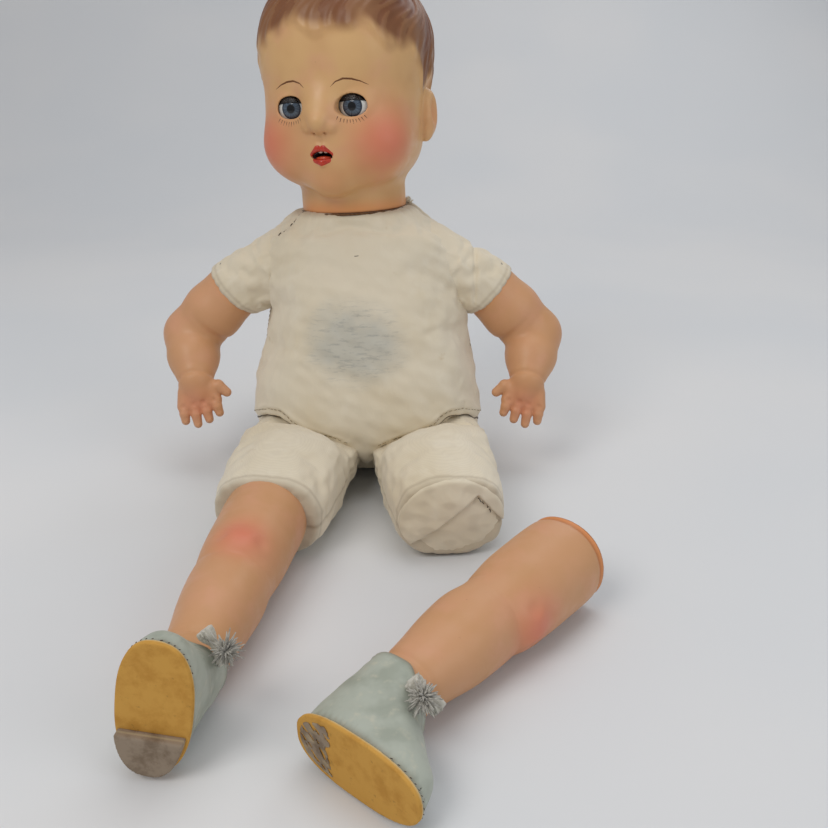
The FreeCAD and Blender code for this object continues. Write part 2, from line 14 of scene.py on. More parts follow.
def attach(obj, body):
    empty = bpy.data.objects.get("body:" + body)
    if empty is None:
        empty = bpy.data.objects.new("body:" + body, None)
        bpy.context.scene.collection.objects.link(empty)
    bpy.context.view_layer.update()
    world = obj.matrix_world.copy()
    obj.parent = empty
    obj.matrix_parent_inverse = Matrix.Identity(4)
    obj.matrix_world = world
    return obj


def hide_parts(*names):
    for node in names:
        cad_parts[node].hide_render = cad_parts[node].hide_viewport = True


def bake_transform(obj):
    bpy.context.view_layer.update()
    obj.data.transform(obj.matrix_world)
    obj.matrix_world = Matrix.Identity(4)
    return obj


MM = 0.001

# ------------------------------------------------------------------ camera
CAMERA_PLACE = (0.033, -0.640, 0.295)
CAMERA_PITCH_DOWN = 22.5       # degrees below level
CAMERA_LENS = 39.87            # on the 36 mm sensor

# ------------------------------------------------------------------ mesh sizes, millimetres
HEAD_GRAIN = 0.85
LIMB_GRAIN = 1.0
SHOE_GRAIN = 0.9
CLOTH_GRAIN = 4.0
DECAL_GRAIN = 0.3
EYE_GRAIN = 0.55
NECK_CORD_RING = 35.9          # radius of the visible neck cord's ring

# ------------------------------------------------------------------ frame
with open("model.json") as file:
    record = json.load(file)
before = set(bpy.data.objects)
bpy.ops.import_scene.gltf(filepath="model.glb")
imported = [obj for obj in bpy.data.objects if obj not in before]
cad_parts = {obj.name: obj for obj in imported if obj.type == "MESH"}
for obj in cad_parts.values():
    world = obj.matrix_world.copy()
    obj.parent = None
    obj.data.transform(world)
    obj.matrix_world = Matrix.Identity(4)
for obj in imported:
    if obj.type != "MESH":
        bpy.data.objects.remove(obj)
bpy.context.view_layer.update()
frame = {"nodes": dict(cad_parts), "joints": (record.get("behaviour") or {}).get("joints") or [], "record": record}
joints = {joint["name"]: joint for joint in frame["joints"]}


def vec(*numbers):
    return np.array(numbers, float)


def unit(vector):
    return vector / np.linalg.norm(vector)


class Place:
    """A local frame: its origin and its three axes, as rows, in the row frame."""

    def __init__(self, origin, x_axis, y_axis, z_axis):
        self.origin = origin
        self.axes = np.array([x_axis, y_axis, z_axis])

    def inward(self, points):
        return (points - self.origin) @ self.axes.T

    def outward(self, points):
        return points @ self.axes + self.origin


def place_along(origin, axis, toward):
    """Frame whose +Z runs along the axis and whose +Y is as near as it can be to the second direction."""
    z_axis = unit(axis)
    x_axis = unit(np.cross(toward, z_axis))
    return Place(origin, x_axis, np.cross(z_axis, x_axis), z_axis)


BODY_MIDDLE_X = -4

NECK = vec(-8, 2, 184)
NECK_AXIS = Vector(joints["head_turn"]["axis"])
HEAD_YAW = -14.5
neck_tilt = Vector((0, 0, 1)).rotation_difference(NECK_AXIS)
head_axes = (neck_tilt @ Quaternion((0, 0, 1), math.radians(HEAD_YAW))).to_matrix()
HEAD = Place(NECK, *(vec(*head_axes.col[i]) for i in range(3)))

SHOULDER = vec(-72, -4, 148)
SLEEVE_AXIS = unit(vec(*joints["right_arm_turn"]["axis"]))
SLEEVE_LENGTH = 29
HEM = SHOULDER + SLEEVE_AXIS * SLEEVE_LENGTH
ELBOW = vec(-128, -3, 94)
WRIST = vec(-121, -33, 70)
PALM_END = vec(-118, -40, 55)
FINGER_END = vec(-115.5, -43.5, 43)
HAND_SIDE = unit(vec(0.97, 0.1, 0.2))
FINGER_TRIMS = (3, 0, -1.5, 2.5)
FINGER_PITCH = 7.3

HIP = vec(-40, -40, 32)
THIGH_HEM = vec(-55.6, -158, 27.6)

RIGHT_LEG = place_along(vec(-54.6, -150, 28), vec(-0.125, -0.991, -0.042), vec(0.17, -0.06, 0.98))
LEFT_LEG = place_along(vec(118, -198, 26.2), vec(-0.653, -0.756, -0.045), vec(0.757, -0.654, 0))


# ------------------------------------------------------------------ distance fields
def step_up(value, low, high):
    """Smooth step from 0 at low to 1 at high."""
    share = np.clip((value - low) / (high - low), 0, 1)
    return share * share * (3 - 2 * share)


def bell(value, width):
    return np.exp(-(value / width) ** 2)


def ball(p, centre, radius):
    return np.linalg.norm(p - vec(*centre), axis=1) - radius


def egg(p, centre, radii, power=2.0):
    """Ellipsoid, or with a higher power a boxier one, as a distance that is true near its surface."""
    radii = vec(*radii)
    share = np.abs((p - vec(*centre)) / radii) + 1e-9
    level = (share ** power).sum(1) ** (1 / power)
    slope = np.linalg.norm(share ** (power - 1) / radii, axis=1) / level ** (power - 1)
    return (level - 1) / slope


def bar(p, start, end, start_radius, end_radius=None):
    """Round-ended bar whose radius may change along it."""
    end_radius = start_radius if end_radius is None else end_radius
    start = vec(*start)
    run = vec(*end) - start
    share = np.clip((p - start) @ run / (run @ run), 0, 1)
    away = np.linalg.norm(p - start - share[:, None] * run, axis=1)
    return away - start_radius - (end_radius - start_radius) * share


def merge(a, b, soft=0.0):
    """Union of two fields, rounded where they meet."""
    if not soft:
        return np.minimum(a, b)
    share = np.clip(0.5 + 0.5 * (b - a) / soft, 0, 1)
    return b + (a - b) * share - soft * share * (1 - share)


def carve(a, b, soft=0.0):
    """The first field with the second taken out of it."""
    return -merge(-a, b, soft)


def common(a, b, soft=0.0):
    return -merge(-a, -b, soft)


def curve_through(x, xs, ys):
    """Smooth curve through the points, held level beyond both ends."""
    xs = vec(*xs)
    ys = vec(*ys)
    slopes = np.gradient(ys, xs)
    i = np.clip(np.searchsorted(xs, x) - 1, 0, len(xs) - 2)
    gap = xs[i + 1] - xs[i]
    t = np.clip((x - xs[i]) / gap, 0, 1)
    return ((1 + 2 * t) * (1 - t) ** 2 * ys[i] + t * (1 - t) ** 2 * gap * slopes[i]
            + t * t * (3 - 2 * t) * ys[i + 1] + t * t * (t - 1) * gap * slopes[i + 1])


def outline_tube(p, outlines, power, x_middle=0.0):
    """Tube along +Z through rounded outlines: height, half width, middle in Y, half depth."""
    heights, widths, middles, depths = zip(*outlines)
    width = curve_through(p[:, 2], heights, widths)
    middle = curve_through(p[:, 2], heights, middles)
    depth = curve_through(p[:, 2], heights, depths)
    across = np.abs(p[:, 0] - x_middle) / width + 1e-9
    along = np.abs(p[:, 1] - middle) / depth + 1e-9
    level = (across ** power + along ** power) ** (1 / power)
    slope = np.hypot(across ** (power - 1) / width, along ** (power - 1) / depth) / level ** (power - 1)
    return (level - 1) / slope


def ripple(p, size, seed):
    """Smooth, repeatable unevenness between about -1 and 1, with bumps of about that size."""
    chance = np.random.default_rng(seed)
    total = np.zeros(len(p))
    for _ in range(6):
        direction = unit(chance.normal(size=3)) * 2 * math.pi / size * chance.uniform(0.6, 1.5)
        total += np.sin(p @ direction + chance.uniform(0, 2 * math.pi))
    return total / 3


# ------------------------------------------------------------------ fields to meshes
OCTANTS = np.array([(i, j, k) for i in (0, 1) for j in (0, 1) for k in (0, 1)])
CELL_EDGES = [(a,
               b) for a in range(8) for b in range(8) if a < b and np.abs(OCTANTS[a] - OCTANTS[b]).sum() == 1]
FIRST_STEP = 8


def cells_near(field, low, counts, grain):
    """Cells whose middle lies near the surface, found from coarse to fine."""
    step = FIRST_STEP
    axes = [np.arange(math.ceil(count / step)) for count in counts]
    cells = np.stack(np.meshgrid(*axes, indexing="ij"), -1).reshape(-1, 3)
    while True:
        middles = low + (cells + 0.5) * grain * step
        cells = cells[np.abs(field(middles)) < grain * step * 1.6]
        if step == 1:
            return cells
        step //= 2
        cells = (cells[:, None, :] * 2 + OCTANTS[None]).reshape(-1, 3)


def surface(field, low, high, grain):
    """Even quad mesh of the field's zero surface inside a box: its points and its faces."""
    low = vec(*low)
    counts = np.ceil((vec(*high) - low) / grain).astype(int) + FIRST_STEP
    stride = np.array([1, counts[0] + 1, (counts[0] + 1) * (counts[1] + 1)])
    cells = cells_near(field, low, counts, grain)
    corner_keys = (cells[:, None, :] + OCTANTS[None]) @ stride
    keys, where = np.unique(corner_keys, return_inverse=True)
    where = where.reshape(corner_keys.shape)
    grid = np.stack([keys % stride[1], keys % stride[2] // stride[1], keys // stride[2]], 1)
    values = field(low + grid * grain)[where]
    active = (values.min(1) < 0) & (values.max(1) >= 0)
    cells, values = cells[active], values[active]
    total = np.zeros((len(cells), 3))
    count = np.zeros(len(cells))
    for a, b in CELL_EDGES:
        crosses = (values[:, a] < 0) != (values[:, b] < 0)
        gap = np.where(crosses, values[:, a] - values[:, b], 1)
        share = np.where(crosses, values[:, a] / gap, 0)
        total += np.where(crosses[:, None], OCTANTS[a] + share[:, None] * (OCTANTS[b] - OCTANTS[a]), 0)
        count += crosses
    points = low + (cells + total / count[:, None]) * grain
    cell_keys = cells @ stride
    order = np.argsort(cell_keys)
    sorted_keys = cell_keys[order]

    def index_of(wanted):
        spot = np.clip(np.searchsorted(sorted_keys, wanted), 0, len(order) - 1)
        return np.where(sorted_keys[spot] == wanted, order[spot], -1)

    faces = []
    for axis in range(3):
        b, c = (axis + 1) % 3, (axis + 2) % 3
        start = values[:, 0] < 0
        end_corner = int(np.flatnonzero((OCTANTS == np.eye(3, dtype=int)[axis]).all(1))[0])
        crosses = start != (values[:, end_corner] < 0)
        key = cell_keys[crosses]
        quad = np.stack([index_of(key), index_of(key - stride[b]), index_of(key - stride[b] - stride[c]),
                         index_of(key - stride[c])], 1)
        quad = np.where(start[crosses][:, None], quad, quad[:, ::-1])
        faces.append(quad[(quad >= 0).all(1)])
    points = settle(field, points, grain)
    return points, np.concatenate(faces)


def settle(field, points, grain):
    """Moves the points onto the surface, by at most half a cell."""
    reach = grain * 0.25
    corners = np.array([(1, 1, 1), (1, -1, -1), (-1, 1, -1), (-1, -1, 1)]) * reach
    samples = [field(points + corner) for corner in corners]
    slope = sum(sample[:, None] * corner for sample, corner in zip(samples, corners)) / (4 * reach ** 2)
    move = -(sum(samples) / 4)[:, None] * slope / (slope ** 2).sum(1)[:, None].clip(0.05)
    length = np.linalg.norm(move, axis=1)[:, None] + 1e-9
    return points + move * np.minimum(1, grain * 0.5 / length)


def piece_from(name, points, faces, finishes, paint=None, smooth=True):
    """Object in the row frame from points in millimetres, with float paint values kept on its points."""
    mesh = bpy.data.meshes.new(name)
    mesh.from_pydata((points * MM).tolist(), [], faces.tolist() if hasattr(faces, "tolist") else faces)
    for finish in finishes:
        mesh.materials.append(finish)
    for key, values in (paint or {}).items():
        mesh.attributes.new(key, "FLOAT", "POINT").data.foreach_set("value", values.astype(np.float32))
    if smooth:
        mesh.shade_smooth()
    mesh.update()
    obj = bpy.data.objects.new(name, mesh)
    bpy.context.scene.collection.objects.link(obj)
    return obj


def mirrored(points, faces, plane_x):
    flipped = points.copy()
    flipped[:, 0] = 2 * plane_x - flipped[:, 0]
    return flipped, [face[::-1] for face in faces] if isinstance(faces, list) else faces[:, ::-1]


def finish_piece(obj, body, slot, *nodes):
    """The piece rides on a body and stands for some CAD nodes, which it hides; the slot is not used."""
    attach(obj, body)
    if nodes:
        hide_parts(*nodes)
    return obj


# ------------------------------------------------------------------ node materials
def tint(red, green, blue):
    """Linear colour from 0 to 255 screen values."""
    return tuple(((c / 255 + 0.055) / 1.055) ** 2.4 if c > 10 else c / 255 / 12.92 for c in (red, green,
        blue)) + (1,)


class Finish:
    """A node material under construction."""

    def __init__(self, name, colour, roughness, specular=0.5, **shader_values):
        self.material = bpy.data.materials.new(name)
        self.material.use_nodes = True
        self.tree = self.material.node_tree
        self.shader = self.tree.nodes["Principled BSDF"]
        self.shader.inputs["Base Color"].default_value = colour
        self.shader.inputs["Roughness"].default_value = roughness
        self.shader.inputs["Specular IOR Level"].default_value = specular
        for socket, value in shader_values.items():
            self.shader.inputs[socket.replace("_", " ")].default_value = value
        self.colour = None
        self.height = None

    def add(self, kind, links=(), **settings):
        node = self.tree.nodes.new(kind)
        for key, value in settings.items():
            setattr(node, key, value)
        for socket, value in links:
            if isinstance(value, bpy.types.NodeSocket):
                self.tree.links.new(value, node.inputs[socket])
            else:
                node.inputs[socket].default_value = value
        return node

    def place(self, stretch=(1, 1, 1)):
        spot = self.add("ShaderNodeTexCoord").outputs["Object"]
        return self.add("ShaderNodeMapping", [("Vector", spot), ("Scale", stretch)]).outputs["Vector"]

    def paint(self, name):
        return self.add("ShaderNodeAttribute", attribute_name=name).outputs["Fac"]

    def noise(self, size_mm, detail=3.0, stretch=(1, 1, 1), rough=0.55, twist=0.0):
        links = [("Vector", self.place(stretch)), ("Scale", 1000 / size_mm), ("Detail", detail),
                 ("Roughness", rough), ("Distortion", twist)]
        return self.add("ShaderNodeTexNoise", links).outputs["Fac"]

    def weave(self, pitch_mm, direction):
        links = [("Vector", self.place()), ("Scale", 1000 / pitch_mm / 3.18), ("Distortion", 0.6),
                 ("Detail", 1.0)]
        return self.add("ShaderNodeTexWave", links, bands_direction=direction).outputs["Fac"]

    def levels(self, value, low, high, to_low=0.0, to_high=1.0):
        links = [("Value", value), ("From Min", low), ("From Max", high), ("To Min", to_low),
                 ("To Max", to_high)]
        return self.add("ShaderNodeMapRange", links, interpolation_type="SMOOTHSTEP").outputs["Result"]

    def math(self, operation, a, b):
        return self.add("ShaderNodeMath", [(0, a), (1, b)], operation=operation).outputs["Value"]

    def blend(self, factor, a, b):
        node = self.add("ShaderNodeMix", [(0, factor), (6, a), (7, b)], data_type="RGBA")
        return node.outputs[2]

    def tone(self, colour, factor):
        """Lays a colour over what is there, by a factor."""
        before = self.shader.inputs["Base Color"].default_value[:] if self.colour is None else self.colour
        self.colour = self.blend(factor, before, colour)

    def rough(self, value, low, high):
        self.tree.links.new(self.levels(value, 0.3, 0.7, low, high), self.shader.inputs["Roughness"])

    def relief(self, value, strength, depth_mm):
        links = [("Height", value), ("Strength", strength), ("Distance", depth_mm * MM)]
        if self.height is not None:
            links.append(("Normal", self.height))
        self.height = self.add("ShaderNodeBump", links).outputs["Normal"]

    def done(self):
        if self.colour is not None:
            self.tree.links.new(self.colour, self.shader.inputs["Base Color"])
        if self.height is not None:
            self.tree.links.new(self.height, self.shader.inputs["Normal"])
        return self.material


HEAD_SKIN = tint(218, 175, 121)
LIMB_SKIN = tint(207, 155, 114)
SKIN_PINK = tint(218, 122, 96)
HAIR_BROWN = tint(112, 62, 32)
LIP_RED = tint(196, 52, 26)


def composition(name, skin, gloss):
    """Painted and varnished composition: uneven flesh tone, blush, airbrushed hair, grime and painted shade,
    crazing.
    """
    f = Finish(name, skin, gloss, 0.35, Coat_Weight=0.1, Coat_Roughness=0.25)
    f.tone(tint(196, 146, 96), f.levels(f.noise(34, 2), 0.35, 0.75, 0, 0.55))
    f.tone(tint(218, 158, 128), f.levels(f.noise(21, 3), 0.45, 0.8, 0, 0.45))
    f.tone(SKIN_PINK, f.paint("blush"))
    f.tone(tint(222, 138, 74), f.paint("rim"))
    f.tone(HAIR_BROWN, f.paint("hair"))
    # dark brown where the paint values say: painted shade at joins and in hollows, and a dark line along the leg's
    # open end
    f.tone(tint(88, 48, 26), f.paint("grime"))
    f.tone(tint(120, 76, 44), f.levels(f.noise(1.6, 2), 0.74, 0.82, 0, 0.35))
    f.rough(f.noise(9, 3), gloss - 0.07, gloss + 0.1)
    f.relief(f.noise(0.9, 3), 0.08, 0.2)
    f.relief(f.noise(6, 2), 0.12, 0.35)
    return f.done()


def muslin():
    """Unbleached cotton: weave, slubs, stains, stamped smudge, and painted shade in seams, creases, folds and
    hems.
    """
    f = Finish("muslin", tint(226, 215, 192), 0.92, 0.15, Sheen_Weight=0.25, Sheen_Roughness=0.6)
    f.tone(tint(214, 199, 168), f.levels(f.noise(55, 3), 0.4, 0.75, 0, 0.6))
    f.tone(tint(234, 225, 205), f.levels(f.noise(18, 3), 0.5, 0.8, 0, 0.5))
    f.tone(tint(196, 172, 128), f.levels(f.noise(23, 4, rough=0.7), 0.66, 0.78, 0, 0.45))
    f.tone(tint(160, 170, 172), f.math("MULTIPLY", f.paint("stamp"),
                                       f.levels(f.noise(26, 3), 0.25, 0.65, 0.2, 0.5)))
    smudge = f.math("MULTIPLY", f.paint("stamp"), f.levels(f.noise(3.4, 4, (0.35, 0.35, 1.9), 0.7), 0.5,
                                                           0.66))
    f.tone(tint(96, 106, 112), f.math("MULTIPLY", smudge, 0.3))
    # brown where the paint values say: a stain and grime, and painted shade in seams, creases, folds, hems, at the
    # neck and near the floor
    f.tone(tint(120, 96, 66), f.paint("grime"))
    threads = f.math("MULTIPLY", f.weave(0.62, "X"), f.weave(0.62, "Z"))
    f.tone(tint(168, 152, 124), f.levels(threads, 0.0, 0.5, 0.1, 0))
    f.relief(threads, 0.1, 0.12)
    f.relief(f.noise(2.2, 2, (1, 1, 0.25)), 0.25, 0.3)
    f.relief(f.noise(7, 3), 0.3, 0.6)
    return f.done()


def simple_cloth(name, colour, shade, size_mm, depth_mm):
    f = Finish(name, colour, 0.9, 0.15, Sheen_Weight=0.3)
    f.tone(shade, f.levels(f.noise(size_mm, 3), 0.4, 0.7, 0, 0.8))
    f.relief(f.noise(size_mm * 0.4, 3), 0.5, depth_mm)
    return f.done()


def oilcloth():
    """Coated shoe cloth: pale grey-green, crazed, darker along the sole and round the mouth, with painted shade
    inside.
    """
    f = Finish("oilcloth", tint(176, 181, 168), 0.5, 0.4)
    f.tone(tint(150, 156, 142), f.levels(f.noise(16, 3), 0.42, 0.7, 0, 0.7))
    f.tone(tint(196, 192, 172), f.levels(f.noise(7, 3), 0.55, 0.75, 0, 0.6))
    # dark where the paint values say: painted shade on the inner face, and darker along the sole and round the
    # mouth
    f.tone(tint(108, 92, 66), f.paint("grime"))
    f.relief(f.noise(1.4, 3), 0.2, 0.25)
    f.relief(f.noise(8, 2), 0.3, 0.5)
    f.rough(f.noise(6, 3), 0.42, 0.62)
    return f.done()


def card(name, colour, shade):
    """Pressed card with fibres, scuffs and darker edges."""
    f = Finish(name, colour, 0.8, 0.2)
    f.tone(shade, f.levels(f.noise(12, 4, rough=0.65), 0.42, 0.68, 0, 0.8))
    f.tone(tint(110, 84, 48), f.levels(f.noise(2.4, 3, (1, 0.3, 1)), 0.62, 0.8, 0, 0.5))
    f.tone(tint(224, 206, 160), f.paint("edge"))
    f.relief(f.noise(1.0, 3), 0.3, 0.2)
    return f.done()


def plain(name, colour, shade, roughness, size_mm=4, metallic=0.0, specular=0.5, coat=0.0):
    f = Finish(name, colour, roughness, specular, Metallic=metallic, Coat_Weight=coat)
    f.tone(shade, f.levels(f.noise(size_mm, 3), 0.4, 0.7, 0, 0.8))
    f.rough(f.noise(size_mm * 1.7, 2), max(roughness - 0.08, 0.02), min(roughness + 0.1, 1))
    f.relief(f.noise(size_mm * 0.3, 2), 0.1, 0.1)
    return f.done()


def iris():
    """Enamelled iris: radial streaks, a dark ring and a dark pupil, driven by paint on the ball's points."""
    f = Finish("eye_enamel_iris", tint(88, 102, 116), 0.1, 0.4, Coat_Weight=0.25, Coat_Roughness=0.03)
    spokes = f.add("ShaderNodeCombineXYZ", [("X", f.paint("spoke_x")), ("Y", f.paint("spoke_y"))]).outputs[0]
    streaks = f.add("ShaderNodeTexNoise", [("Vector", spokes), ("Scale", 5.0),
                                           ("Detail", 3.0)]).outputs["Fac"]
    f.tone(tint(44, 56, 72), f.levels(streaks, 0.4, 0.62))
    f.tone(tint(136, 146, 152), f.math("MULTIPLY", f.levels(streaks, 0.58, 0.78), 0.45))
    ring = f.paint("ring")
    f.tone(tint(48, 54, 62), f.levels(ring, 0.38, 0.5, 0.9, 0))
    f.tone(tint(36, 44, 58), f.levels(ring, 0.74, 0.95, 0, 0.95))
    f.tone(tint(8, 8, 10), f.levels(ring, 0.36, 0.42, 1, 0))
    f.tone(tint(206, 208, 204), f.levels(ring, 0.985, 1.03))
    return f.done()


FINISHES = {
    "muslin": muslin(),
    "cotton_stuffing": simple_cloth("cotton_stuffing", tint(224, 216, 196), tint(196, 184, 158), 5, 0.8),
    "composition_head": composition("composition_head", HEAD_SKIN, 0.42),
    "composition_limb": composition("composition_limb", LIMB_SKIN, 0.48),
    "oilcloth": oilcloth(),
    "sole_card": card("sole_card", tint(206, 156, 76), tint(186, 134, 58)),
    "heel_lift": card("heel_lift", tint(150, 134, 116), tint(112, 94, 76)),
    "cardboard": card("cardboard", tint(150, 122, 86), tint(126, 98, 66)),
    "ribbon": simple_cloth("ribbon", tint(206, 202, 190), tint(168, 162, 148), 3, 0.3),
    "pompom_yarn": simple_cloth("pompom_yarn", tint(186, 182, 172), tint(132, 128, 120), 3, 0.6),
    "eye_enamel": iris(),
    "plaster": plain("plaster", tint(222, 216, 204), tint(196, 188, 170), 0.9),
    "lead": plain("lead", tint(96, 98, 102), tint(66, 68, 72), 0.55, metallic=0.7),
    "binding_wire": plain("binding_wire", tint(120, 112, 100), tint(84, 62, 44), 0.5, metallic=0.8),
    "cord": simple_cloth("cord", tint(112, 80, 50), tint(74, 48, 28), 2, 0.4),
    "mouth_felt": simple_cloth("mouth_felt", tint(78, 16, 14), tint(44, 8, 8), 2, 0.3),
    "tooth_white": plain("tooth_white", tint(236, 230, 214), tint(220, 208, 184), 0.2, coat=0.5)}
LIP_PAINT = plain("lip_paint", LIP_RED, tint(170, 38, 18), 0.34, 3, specular=0.5, coat=0.3)
TONGUE_PAINT = plain("tongue_paint", tint(216, 84, 50), tint(196, 60, 34), 0.35, 3, coat=0.3)
BROW_PAINT = plain("brow_paint", tint(112, 66, 24), tint(88, 50, 18), 0.5, 2)
LASH_PAINT = plain("lash_paint", tint(96, 52, 32), tint(74, 38, 22), 0.5, 2)
# near-black lids: brown lid paint, darkened further as painted shade under the upper lid and lashes
LID_BROWN_AND_SHADE = plain("lid_brown_and_shade", tint(30, 20, 16), tint(16, 10, 8), 0.35, 3, coat=0.4)
LASH_BLACK = plain("lash_black", tint(14, 10, 9), tint(24, 16, 12), 0.6, 1)
THREAD = simple_cloth("thread", tint(160, 142, 108), tint(110, 92, 64), 1, 0.1)
DARK_THREAD = simple_cloth("dark_thread", tint(84, 68, 48), tint(54, 42, 30), 1, 0.1)


# ------------------------------------------------------------------ head
EYES = [vec(side * 20, -40, 67.3) for side in (-1, 1)]
EYE_RADIUS = 12.8
# the painted lid comes down to this height over the level of the eye's middle
LID_EDGE = math.radians(17)
MOUTH = vec(0, -57, 39.3)
HAIRLINE = ((-180, 32), (-140, 36), (-115, 50), (-98, 76), (-80, 75), (-68, 88), (-50, 98), (-30, 106),
            (0, 109),
            (30, 106), (50, 98), (68, 88), (80, 75), (98, 76), (115, 50), (140, 36), (180, 32))


def hairline_gap(p):
    """Height over the wavy edge of the moulded hair."""
    bearing = np.degrees(np.arctan2(p[:, 0], -(p[:, 1] - 5)))
    turns = np.radians(bearing)
    edge = curve_through(bearing, *zip(*HAIRLINE))
    return p[:, 2] - edge + 2.8 * np.sin(9 * turns + 0.8) + 1.6 * np.sin(17 * turns + 2)


def hair_relief(p):
    """Moulded locks that swirl out from the crown."""
    across, along = p[:, 0], p[:, 1] - 30
    reach = np.linalg.norm(p - vec(0, 30, 150), axis=1)
    turn = np.arctan2(across, along) + 1.1 * np.exp(-reach / 45) + 0.1 * np.sin(reach / 8)
    locks = np.sin(14 * turn + 1.4 * np.sin(reach / 16) + 0.7)
    strands = np.sin(47 * turn + 2.5 * np.sin(reach / 12)) + 0.6 * np.sin(83 * turn + 3 * np.sin(reach / 9))
    gap = hairline_gap(p)
    waves = (0.6 * locks + 0.26 * strands) * step_up(reach, 5, 22)
    return step_up(gap, -1, 6) * (0.85 + waves + 0.4 * bell(gap - 5, 5))


def eye_opening(p, eye):
    """Rounded almond opening of one eye, seen from the front."""
    across = np.abs(p[:, 0] - eye[0]) / 9.4
    rise = p[:, 2] - eye[2]
    height = np.where(rise > 0, rise / 7.6, -rise / 6.0)
    return ((across ** 2.1 + height ** 2.1) ** (1 / 2.1) - 1) * 6.5


def mouth_hollow(p):
    droop = 0.018 * (p[:, 0] - MOUTH[0]) ** 2
    return egg(p + np.column_stack([np.zeros_like(droop), np.zeros_like(droop), droop]), MOUTH,
               (6.8, 12, 2.4), 2.4)


def both_sides(p):
    return np.column_stack([np.abs(p[:, 0]), p[:, 1], p[:, 2]])


def ear_field(m):
    """Ear on the mirrored side, from points whose X is positive."""
    ear = egg(m, (52, 9, 60), (6.5, 9.5, 15.5), 2.2)
    ear = carve(ear, egg(m, (60, 7, 62), (5.2, 5.2, 10)), 2)
    ear = merge(ear, bar(m, (55, 11, 67), (54.3, 9, 53), 1.6, 1.2), 2)
    ear = merge(ear, ball(m, (53, 2.2, 57), 2.4), 2)
    return merge(ear, egg(m, (51.5, 5, 47), (4, 4.2, 5)), 3)


def head_field(p):
    m = both_sides(p)
    form = merge(egg(p, (0, 6, 98), (55, 63, 53), 2.3), egg(p, (0, -4, 48), (49.5, 53, 38), 2.2), 16)
    form = merge(form, egg(p, (0, -14, 64), (46, 41.5, 32)), 12)
    form = merge(form, egg(m, (26, -31, 44), (20, 19.5, 18)), 13)
    form = merge(form, ball(p, (0, -41, 26), 13), 13)
    form = merge(form, ball(p, (0, -45.5, 40), 10.8), 9)
    neck = np.maximum(np.hypot(p[:, 0], p[:, 1]) - 35.5, np.maximum(0.3 - p[:, 2], p[:, 2] - 30))
    form = merge(form, neck, 5)
    form = merge(form, np.maximum(np.hypot(p[:, 0], p[:, 1]) - 30.6, np.abs(p[:, 2] + 3) - 5))
    form = carve(form, egg(m, (20.3, -66.5, 71.3), (12, 12.5, 11)), 8)
    form = merge(form, ball(m, EYES[1], 14.7), 2.5)
    form = merge(form, bar(p, (0, -47.5, 78), (0, -55, 64), 4.5, 6), 14)
    form = merge(form, ball(p, (0, -60, 59), 6.6), 3)
    form = merge(form, egg(m, (7, -57, 56.4), (4.4, 4.8, 4)), 2)
    form = carve(form, bar(m, (3.4, -61, 51.9), (3.4, -58.5, 52.6), 0.6), 1.6)
    form = carve(form, bar(p, (0, -60.6, 50), (0, -59.8, 47.5), 0.9), 2)
    form = merge(form, bar(m, (7.0, -54.8, 39.6), (2.2, -57.8, 43.6), 1.4, 2.3), 2)
    form = merge(form, bar(m, (5.8, -55, 37), (0, -57.6, 34.7), 1.8, 2.4), 1.5)
    form = carve(form, mouth_hollow(p), 0.8)
    form = form - hair_relief(p)
    form = merge(form, ear_field(m), 2.5)
    for eye in EYES:
        form = carve(form, np.maximum(eye_opening(p, eye), p[:, 1] + 40), 0.5)
        form = carve(form, ball(p, eye, EYE_RADIUS + 0.6))
    return form


def make_head():
    points, faces = surface(head_field, (-66, -72, -11), (66, 80, 157), HEAD_GRAIN)
    m = both_sides(points)
    cheek = 1.1 * bell(np.linalg.norm(m - vec(34, -40, 46), axis=1), 20)
    chin = 0.25 * bell(np.linalg.norm(points - vec(0, -54, 22), axis=1), 12)
    ears = 0.3 * bell(np.linalg.norm(m - vec(56, 9, 58), axis=1), 12)
    gap = hairline_gap(points) + 3 * ripple(points, 15, 3)
    hair = step_up(gap, 0, 13) * 0.9 + 0.1 * step_up(gap, 10, 40)
    hollow = hair_relief(points) < 0.7
    paint = {
        "blush": np.clip(cheek + chin + ears, 0, 0.85), "hair": hair * (0.9 + 0.1 * hollow),
        "rim": 0.65 * step_up(-points[:, 2], -12, 0),
        # painted shade: a dark band along the neck's lower edge, where the head meets the cloth
        "grime": 0.9 * bell(points[:, 2] - 0.4, 0.9)}
    head = piece_from("head_shell", HEAD.outward(points), faces, [FINISHES["composition_head"]], paint)
    finish_piece(head, "head", "composition_head", "head_front_shell", "head_rear_shell")


def flat_distance(p, start, end, start_width, end_width):
    """Distance from a tapering stroke, seen from the front."""
    seen = np.column_stack([p[:, 0], p[:, 0] * 0, p[:, 2]])
    return bar(seen, (start[0], 0, start[1]), (end[0], 0, end[1]), start_width, end_width)


def decal(name, shape, low, high, finish, slot, lift=0.07):
    """Thin paint film over the head wherever the shape, seen from the front, covers it."""

    def film(p):
        skin = head_field(p)
        return np.maximum(np.maximum(skin - lift, -0.6 - skin), shape(p))

    points, faces = surface(film, low, high, DECAL_GRAIN)
    finish_piece(piece_from(name, HEAD.outward(points), faces, [finish]), "head", slot)


def stroke_row(p, strokes):
    total = np.full(len(p), 99.0)
    for start, end, start_width, end_width in strokes:
        total = np.minimum(total, flat_distance(p, start, end, start_width, end_width))
    return total


def arc_strokes(side, points, widths):
    """Chain of strokes through points on one side of the face."""
    chain = [(side * x, z) for x, z in points]
    return [(chain[i], chain[i + 1], widths[i], widths[i + 1]) for i in range(len(chain) - 1)]


BROW = ((8.5, 79), (11.5, 81.9), (16, 83.5), (21, 83.1), (26, 81.5), (30.5, 79.1))
BROW_WIDTHS = (0.15, 0.4, 0.62, 0.62, 0.42, 0.15)


